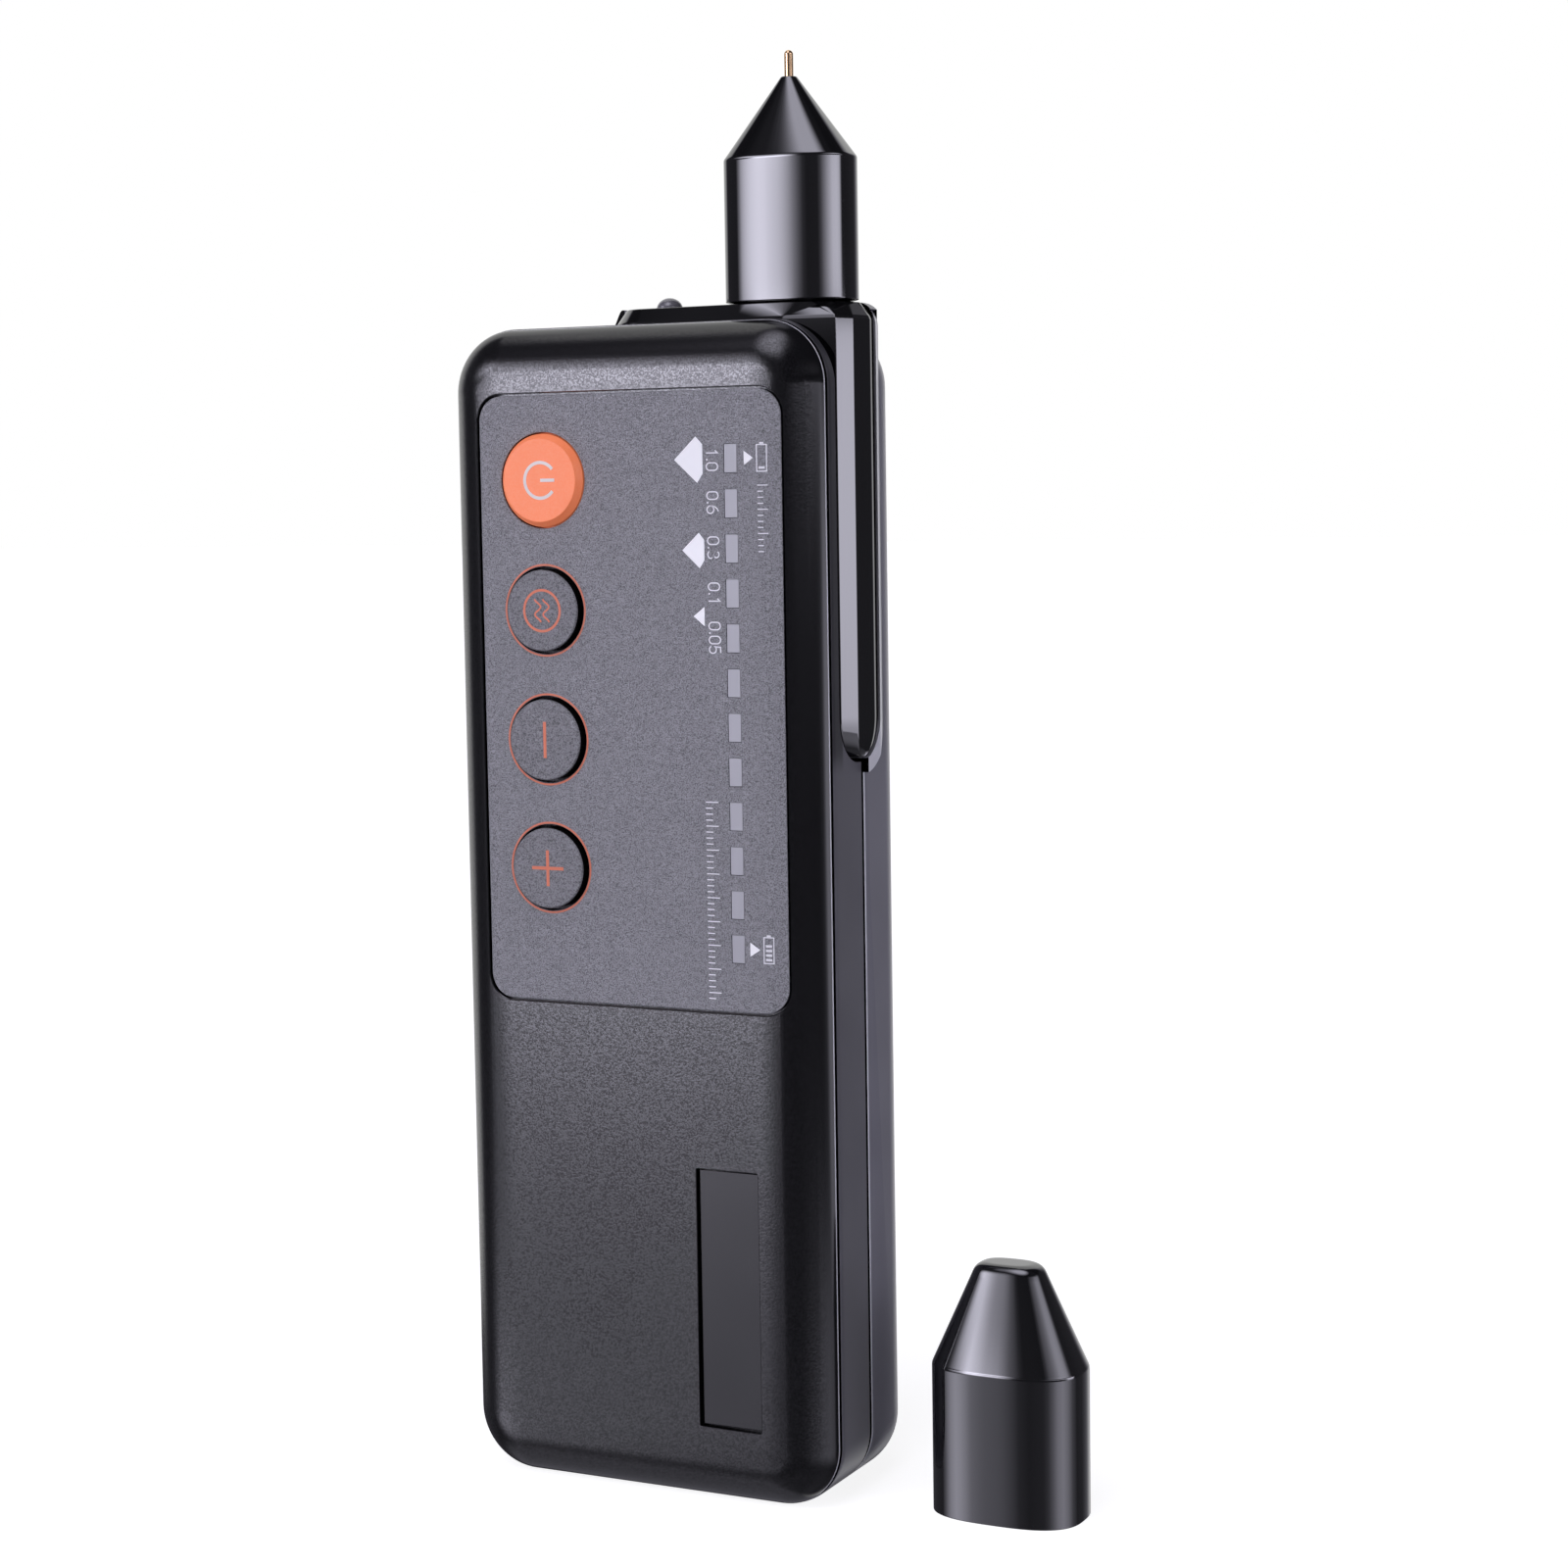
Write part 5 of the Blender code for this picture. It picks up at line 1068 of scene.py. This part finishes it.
def buttons():
    """Turned caps with a flange behind the cover. The power button's rim slopes, the others' is steep."""
    for name, height in BUTTON_PLACES.items():
        power = name == "power"
        radius = POWER_RADIUS if power else BUTTON_RADIUS
        flange = radius + BUTTON_FLANGE_WIDTH
        path = [
            (radius * 0.5, BUTTON_FACE_Y),
            (POWER_FACE_RADIUS if power else BUTTON_RADIUS - BUTTON_RIM, BUTTON_FACE_Y),
            (radius, PANEL_FACE_Y if power else BUTTON_FACE_Y + BUTTON_RIM),
            (radius, BUTTON_FLANGE_FRONT_Y),
            (flange, BUTTON_FLANGE_FRONT_Y),
            (flange, BUTTON_FLANGE_REAR_Y),
        ]
        mesh = lathed(f"{name}_key", (BUTTON_X, height), soften(path, (0.00006, 0.00005, 0, 0)), steps=128)
        finish = "orange" if power else "button_grey"
        slot = "orange" if power else "panel_grey"
        piece(mesh, finish, f"{name}_button", body=f"{name}_button", slot=slot)


def flat_mark(name, outline, face_y):
    """A printed patch: an outline across and up, given the thickness of the ink."""
    return prism(name, outline, face_y - PRINT_HEIGHT, face_y + PRINT_HEIGHT / 2)


def stroke(name, path, width, face_y, closed=False):
    """A printed line along a path: at each point the ink reaches half its width to both sides, along
    the mean of the normals of the two spans that meet there."""
    path = np.asarray(path, float)
    spans = np.roll(path, -1, axis=0) - path if closed else np.diff(path, axis=0)
    spans /= np.linalg.norm(spans, axis=1)[:, None]
    if closed:
        before, after = np.roll(spans, 1, axis=0), spans
    else:
        before, after = np.concatenate([spans[:1], spans]), np.concatenate([spans, spans[-1:]])
    mean = before + after
    mean /= np.linalg.norm(mean, axis=1)[:, None]
    reach = width / 2 / (mean * after).sum(axis=1)
    side = np.stack([-mean[:, 1], mean[:, 0]], axis=1) * reach[:, None]
    near = face_y - PRINT_HEIGHT
    far = face_y + PRINT_HEIGHT / 2
    rings = np.stack([
        np.stack([flat[:, 0], np.full(len(flat), depth), flat[:, 1]], axis=1)
        for flat, depth in ((path + side, near), (path - side, near), (path - side, far), (path + side, far))
    ])
    return skin(name, rings if closed else rings.transpose(1, 0, 2), loop=closed)


def arc(centre, radii, start, stop, steps=14):
    """Points on a circle or an ellipse between two angles in degrees."""
    return np.array(centre) + np.array(radii) * compass(swing(start, stop, steps + 1))


def numeral(figure):
    """The strokes of one figure, in a cell one unit wide and one unit high, and whether they close."""
    if figure == "0":
        path = [*arc((0.5, 0.70), (0.5, 0.30), 0, 180), *arc((0.5, 0.30), (0.5, 0.30), 180, 360)]
        return [(path, True)]
    if figure == "1":
        return [(((0.22, 0.78), (0.55, 1.0), (0.55, 0.0)), False)]
    if figure == "3":
        path = [*arc((0.48, 0.76), (0.42, 0.24), 150, -75), *arc((0.48, 0.27), (0.50, 0.27), 80, -150)]
        return [(path, False)]
    if figure == "5":
        path = [(0.92, 1.0), (0.16, 1.0), (0.08, 0.52), *arc((0.46, 0.31), (0.50, 0.31), 140, -150)]
        return [(path, False)]
    bowl = arc((0.5, 0.30), (0.5, 0.30), 110, 470, 28)
    return [(bowl[:-1], True), (arc((0.86, 0.36), (0.86, 0.64), 180, 98, 10), False)]


def numerals():
    """The scale's figures, which read down the panel with their tops to the right."""
    made = []
    for text, pen in NUMERALS.items():
        for figure in text:
            if figure == ".":
                dot = NUMERAL_STROKE * 1.3
                outline = np.array(((0, 0), (dot, 0), (dot, -dot), (0, -dot))) + (NUMERAL_FOOT, pen)
                made.append(flat_mark("figure", outline * MM, PANEL_FACE_Y))
                pen -= dot + NUMERAL_SPACE
                continue
            for path, closed in numeral(figure):
                across, up = np.array(path).T
                placed = np.stack([NUMERAL_FOOT + up * NUMERAL_HEIGHT, pen - across * NUMERAL_WIDTH], axis=1)
                made.append(stroke("figure", placed * MM, NUMERAL_STROKE * MM, PANEL_FACE_Y, closed))
            pen -= NUMERAL_WIDTH + NUMERAL_SPACE
    return made


def panel_line(path, width, closed=False):
    """A line printed on the panel, in millimetres."""
    return stroke("line", np.array(path) * MM, width * MM, PANEL_FACE_Y, closed)


def ticks(foot, head, start, stop, count):
    """A row of scale lines down the panel, with each one that starts a group drawn in full."""
    made = []
    for index, height in enumerate(np.linspace(start, stop, count)):
        reach = foot + (head - foot) * TICK_SHORT if index % TICK_GROUP else head
        made.append(panel_line(((foot, height), (reach, height)), TICK_WIDTH))
    return made


def battery_sign(left, right, top, bottom, bars):
    """An upright battery outline, its pole, and the bars that show how full it is."""
    middle = (left + right) / 2
    made = [
        panel_line(((left, bottom), (right, bottom), (right, top), (left, top)), 0.11, closed=True),
        panel_line(((middle - 0.22, top + 0.16), (middle + 0.22, top + 0.16)), 0.18),
    ]
    for index in range(bars):
        height = bottom + 0.36 + 0.46 * index
        made.append(panel_line(((left + 0.2, height), (right - 0.2, height)), 0.24))
    return made


def printed_marks():
    """The panel's gems, pointers, figures, ticks, batteries and rings, and the signs on the buttons."""
    white = [flat_mark("patch", np.array(points) * MM, PANEL_FACE_Y) for points in (*GEMS, *POINTERS)]
    piece(merged("panel_gems", white), "white_print", slot="panel_grey")
    piece(merged("panel_numerals", numerals()), "grey_print", slot="panel_grey")
    scale = [line for row in TICK_ROWS for line in ticks(*row)]
    scale += [line for battery in BATTERIES for line in battery_sign(*battery)]
    piece(crowned(merged("panel_scale", scale), False), "grey_print", slot="panel_grey")
    power, mode, minus, plus = [np.array((BUTTON_X, height)) for height in BUTTON_PLACES.values()]
    rings = []
    for centre in (mode, minus, plus):
        path = arc(centre, RING_RADIUS, 0, 360, 128)[:-1]
        rings.append(stroke("ring", path, RING_WIDTH, PANEL_FACE_Y, closed=True))
    piece(merged("panel_rings", rings), "orange_print", slot="orange")
    sign = [
        stroke("power_arc", arc(power + (0.00012, 0), POWER_ARC_RADIUS, 38, 322, 48), SIGN_WIDTH, BUTTON_FACE_Y),
        stroke("power_bar", power + ((0.00015, 0), (0.00178, 0)), SIGN_WIDTH, BUTTON_FACE_Y),
    ]
    piece(merged("power_sign", sign), "pale_print", body="power_button", slot="orange")
    share = np.linspace(-1, 1, 33)
    wave = np.stack([WAVE_SIZE[0] * np.sin(share * 1.5 * pi), share * WAVE_SIZE[1]], axis=1)
    path = arc(mode, MODE_RING_RADIUS, 0, 360, 96)[:-1]
    sign = [stroke("mode_ring", path, MODE_RING_WIDTH, BUTTON_FACE_Y, closed=True)]
    for offset in (-WAVE_OFFSET, WAVE_OFFSET):
        sign.append(stroke("mode_wave", mode + (offset, 0) + wave, WAVE_WIDTH, BUTTON_FACE_Y))
    piece(merged("mode_sign", sign), "orange_print", body="mode_button", slot="orange")
    sign = stroke("minus_sign", minus + ((0, -SIGN_REACH), (0, SIGN_REACH)), SIGN_WIDTH, BUTTON_FACE_Y)
    piece(sign, "orange_print", body="minus_button", slot="orange")
    half = SIGN_WIDTH / 2
    cross = plus + crossed(((SIGN_REACH, -half), (SIGN_REACH, half), (half, half)))
    piece(flat_mark("plus_sign", cross, BUTTON_FACE_Y), "orange_print", body="plus_button", slot="orange")


# Cap


def probe_cap():
    """A flat-oval cap, open below: rings go up inside, and back down outside, each oval's power kept."""
    rise = CAP_HEIGHT - CAP_SHOULDER_Z
    taper = CAP_HALF_WIDTH - CAP_TOP_HALF_WIDTH
    drop = CAP_WALL * (np.hypot(taper, rise) - rise) / taper
    inner = (CAP_HALF_WIDTH - CAP_WALL, CAP_HALF_DEPTH - CAP_WALL)
    outer = (CAP_HALF_WIDTH, CAP_HALF_DEPTH)
    top = np.array((CAP_TOP_HALF_WIDTH, CAP_TOP_HALF_DEPTH))
    path = [
        oval((CAP_X, CAP_Y), *halves, height)
        for halves, height in (
            (top - CAP_WALL, CAP_HEIGHT - CAP_ROOF), (inner, CAP_SHOULDER_Z - drop), (inner, 0),
            (outer, 0), (outer, CAP_SHOULDER_Z), (top, CAP_HEIGHT), (top * 0.12, CAP_HEIGHT),
        )
    ]
    rings = soften(path, (0, 0.0001, 0.0001, 0.00018, 0.0010), 12)
    piece(skin("gloss_cap", rings), "gloss_black", "probe_cap", body="cap")


# Finishes of the pieces inside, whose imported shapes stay


def inner_pieces():
    finishes = {
        "steel": ["probe_spring", "usb_socket", *(f"{name}_switch" for name in BUTTON_PLACES)],
        "smooth_dark": ["probe_plug", "controller_chip", "buzzer"],
        "board_green": ["main_board"],
        "cell_silver": ["battery_cell"],
        "foam": ["battery_pad"],
        "lead_red": ["battery_lead", "probe_lead", "lamp_lead"],
        "led_white": [f"led_{index + 1:02d}" for index in range(len(WINDOW_PLACES))],
    }
    for finish, names in finishes.items():
        for name in names:
            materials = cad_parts[name].data.materials
            materials.clear()
            materials.append(FINISHES[finish])


# Studio


def camera():
    """The photograph's view: where the lens stood, where it looked, and how far it leaned."""
    place = Vector((0.15123, -0.28280, 0.10237))
    yaw, pitch, roll = 0.4578, 0.09266, 0.01557
    ahead = Vector((-sin(yaw) * cos(pitch), cos(yaw) * cos(pitch), -sin(pitch)))
    right = Vector((cos(yaw), sin(yaw), 0))
    down = ahead.cross(right)
    across = cos(roll) * right + sin(roll) * down
    below = cos(roll) * down - sin(roll) * right
    lens = bpy.data.cameras.new("camera")
    lens.sensor_width = 36
    lens.lens = 70.82
    lens.clip_start = 0.01
    lens.clip_end = 20
    holder = bpy.data.objects.new("camera", lens)
    turned = Matrix((across, -below, -ahead)).transposed().to_4x4()
    turned.translation = place
    holder.matrix_world = turned
    bpy.context.scene.collection.objects.link(holder)
    bpy.context.scene.camera = holder


# The studio's brightness by direction, in degrees: 0 is towards the front, positive to the right. Each
# ring takes over from the one before it between two tilts, from the floor's height up to above the probe
PEAK = 14.0
DARK = 0.05
RINGS = (
    ("low ring", None, (
        (-76, 0.06), (-67, 0.5), (-56, 1.5), (-47, 2.05), (-41, 1.85), (-35, 1.4), (-31, 0.95),
        (-25, 0.68), (-21, 0.5), (-16, 0.33), (-9, 0.12), (2, 0.06), (25, 0.09), (35, 0.22), (47, 0.63), (60, 1.2),
        (77, 1.45), (95, 1.02), (116, 0.3), (135, 0.05),
    )),
    ("ring below", (-15.8, -14.8), (
        (-58, 0.05), (-52, 0.2), (-46, 0.28), (-41, 0.32), (-36, 0.55), (-31, 0.9), (-25, 0.8),
        (-19, 0.4), (-12, 0.1), (-7, 0.03), (70, 0.03), (84, 0.25), (92, 0.8), (99, 2.0), (116, 2.0), (124, 0.03),

    )),
    ("middle ring", (-14, 0), (
        (-58, 0.05), (-53, 0.5), (-49, 1.1), (-43, 1.8), (-38, 3.3), (-33, 7.8), (-26, 8.4),
        (-21, 6.0), (-17, 2.0), (-13, 0.25), (-9, 0.03), (70, 0.03), (84, 0.4), (92, 1.4), (99, 3.5), (116, 3.5),
        (124, 0.03),
    )),
    ("level ring", (3.0, 3.6), (
        (-61, 0.05), (-55, 1.2), (-51.5, 2.5), (-48, 3.3), (-43, 4.3), (-38, 5.1), (-32, 5.7),
        (-28, 5.5), (-25, 3.9), (-21, 2.6), (-16, 1.3), (-11, 0.6), (-6, 0.16), (0, 0.05), (20, 0.06), (28, 0.38),
        (39, 1.35), (52, 2.6), (66, 3.7), (84, 3.8), (97, 3.2), (104, 1.4), (109, 0.05), (144, 0.04),
    )),
    ("shelf ring", (6.2, 7.8), (
        (-48, 0.05), (-43, 0.6), (-38, 3.4), (-33, 8.2), (-26, 8.8), (-21, 5.6), (-15, 1.4),
        (-11, 0.2), (-6, 0.04), (70, 0.04), (84, 0.25), (92, 0.4), (99, 0.6), (112, 0.6), (118, 0.04),
    )),
    ("raised ring", (13, 18), (
        (-72, 0.05), (-61, 1.2), (-54, 3.4), (-46, 4.9), (-42, 4.66), (-35, 3.9), (-28, 2.6),
        (-25, 2.0), (-22, 1.4), (-16, 0.6), (-8, 0.12), (-3, 0.04), (28, 0.04), (35, 0.3), (41, 0.75), (50, 1.2),
        (72, 2.6), (84, 2.4), (99, 1.56), (108, 0.5), (116, 0.05),
    )),
)


def ring_of(name, turn, values):
    """A colour ramp round the horizon, as brightness over the peak, dark at the back."""
    ramp = add(turn.tree, "ShaderNodeValToRGB", {0: turn}, name=name)
    elements = ramp.color_ramp.elements
    while len(elements) > 1:
        elements.remove(elements[-1])
    for index, (degrees, value) in enumerate(((-180, DARK), *values, (165, DARK))):
        place = (degrees + 180) / 360
        element = elements[0] if index == 0 else elements.new(place)
        element.position = place
        element.color = (*[value / PEAK] * 3, 1.0)
    return Wire(ramp)


def studio():
    """A dark room with a tall soft box at each side of the camera, one overhead, and a white backdrop
    round the back. The camera sees the backdrop's white in every direction."""
    world = bpy.context.scene.world or bpy.data.worlds.new("studio")
    bpy.context.scene.world = world
    world.use_nodes = True
    tree = world.node_tree
    tree.nodes.clear()
    direction = coordinates(tree, "Generated")
    x, y, z = direction.parts()
    turn = x.calc("ARCTAN2", y * -1.0)
    share = turn.calc("DIVIDE", 2 * pi) + 0.5
    turn = turn * (180 / pi)
    tilt = z.calc("ARCSINE") * (180 / pi)
    around = None
    for name, rise, values in RINGS:
        ring = ring_of(name, share, values)
        around = blended(tilt.ease(*rise), around, ring) if around else ring
    boxes = Wire(add(tree, "ShaderNodeRGBToBW", {0: around})) * PEAK
    boxes = boxes * tilt.ease(19, 38, 1.0, 0.01) * tilt.ease(-46, -19, 0.06, 1.0)
    under = tilt.ease(-52, -36, 0.30, 0.0) * turn.ease(-60, -30, 1.0, 0.3)
    overhead = (0.0, -cos(radians(60)), sin(radians(60)))
    near = Wire(add(tree, "ShaderNodeVectorMath", {0: direction, 1: overhead}, operation="DOT_PRODUCT"), "Value")
    apart = near.calc("ARCCOSINE") * (180 / pi)
    lit = boxes + under + apart.ease(8, 29, 2.6, 0.03)
    drawn_in = tilt.ease(-16, -14.5, 75, 0) + tilt.ease(1.5, 3.5, 0, 4)
    left = (turn * -1.0 - drawn_in).ease(94, 106)
    left = left.calc("MAXIMUM", tilt.ease(54, 60) * turn.ease(-84, -62, 1.0, 0.0))
    backdrop = left.calc("MAXIMUM", turn.ease(155, 178)) * tilt.ease(74, 88, 1.0, 0.0)
    rays = add(tree, "ShaderNodeLightPath")
    mirrored = Wire(rays, "Is Glossy Ray").calc("MAXIMUM", Wire(rays, "Is Transmission Ray"))
    seen = Wire(rays, "Is Camera Ray").calc("MAXIMUM", mirrored * backdrop)
    colour = blended(seen, (0.975, 0.955, 1.12), (1.0, 1.0, 1.0))
    strength = Wire(add(tree, "ShaderNodeMix", {0: seen, 2: lit, 3: 1.0}, data_type="FLOAT"))
    light = add(tree, "ShaderNodeBackground", {"Color": colour, "Strength": strength})
    add(tree, "ShaderNodeOutputWorld", {0: Wire(light)})


def floor():
    """A pale table top whose own white the camera sees, with the object's soft shadow on it."""
    half, below = 6.0, -0.00002
    mesh = bpy.data.meshes.new("table_top")
    corners = ((-half, -half, below), (half, -half, below), (half, half, below), (-half, half, below))
    mesh.from_pydata(corners, [], [(0, 1, 2, 3)])
    material = bpy.data.materials.new("table_white")
    material.use_nodes = True
    tree = material.node_tree
    tree.nodes.clear()
    matt = add(tree, "ShaderNodeBsdfDiffuse", {"Color": (0.55, 0.55, 0.56)})
    seen = Wire(add(tree, "ShaderNodeLightPath"), "Is Camera Ray") * 0.86
    glow = add(tree, "ShaderNodeEmission", {"Color": (1.0, 1.0, 1.0), "Strength": seen})
    both = add(tree, "ShaderNodeAddShader", {0: Wire(matt), 1: Wire(glow)})
    add(tree, "ShaderNodeOutputMaterial", {0: Wire(both)})
    mesh.materials.append(material)
    top = bpy.data.objects.new("table_top", mesh)
    bpy.context.scene.collection.objects.link(top)
    top.visible_glossy = False


def main():
    front_cover()
    overlay_panel()
    name_plate()
    light_guide()
    mid_frame()
    rear_cover()
    case_screws()
    probe_holder()
    probe_nose()
    probe_needle()
    lamp()
    buttons()
    printed_marks()
    probe_cap()
    inner_pieces()
    camera()
    studio()
    floor()
    bpy.context.scene.view_settings.view_transform = "Standard"


main()
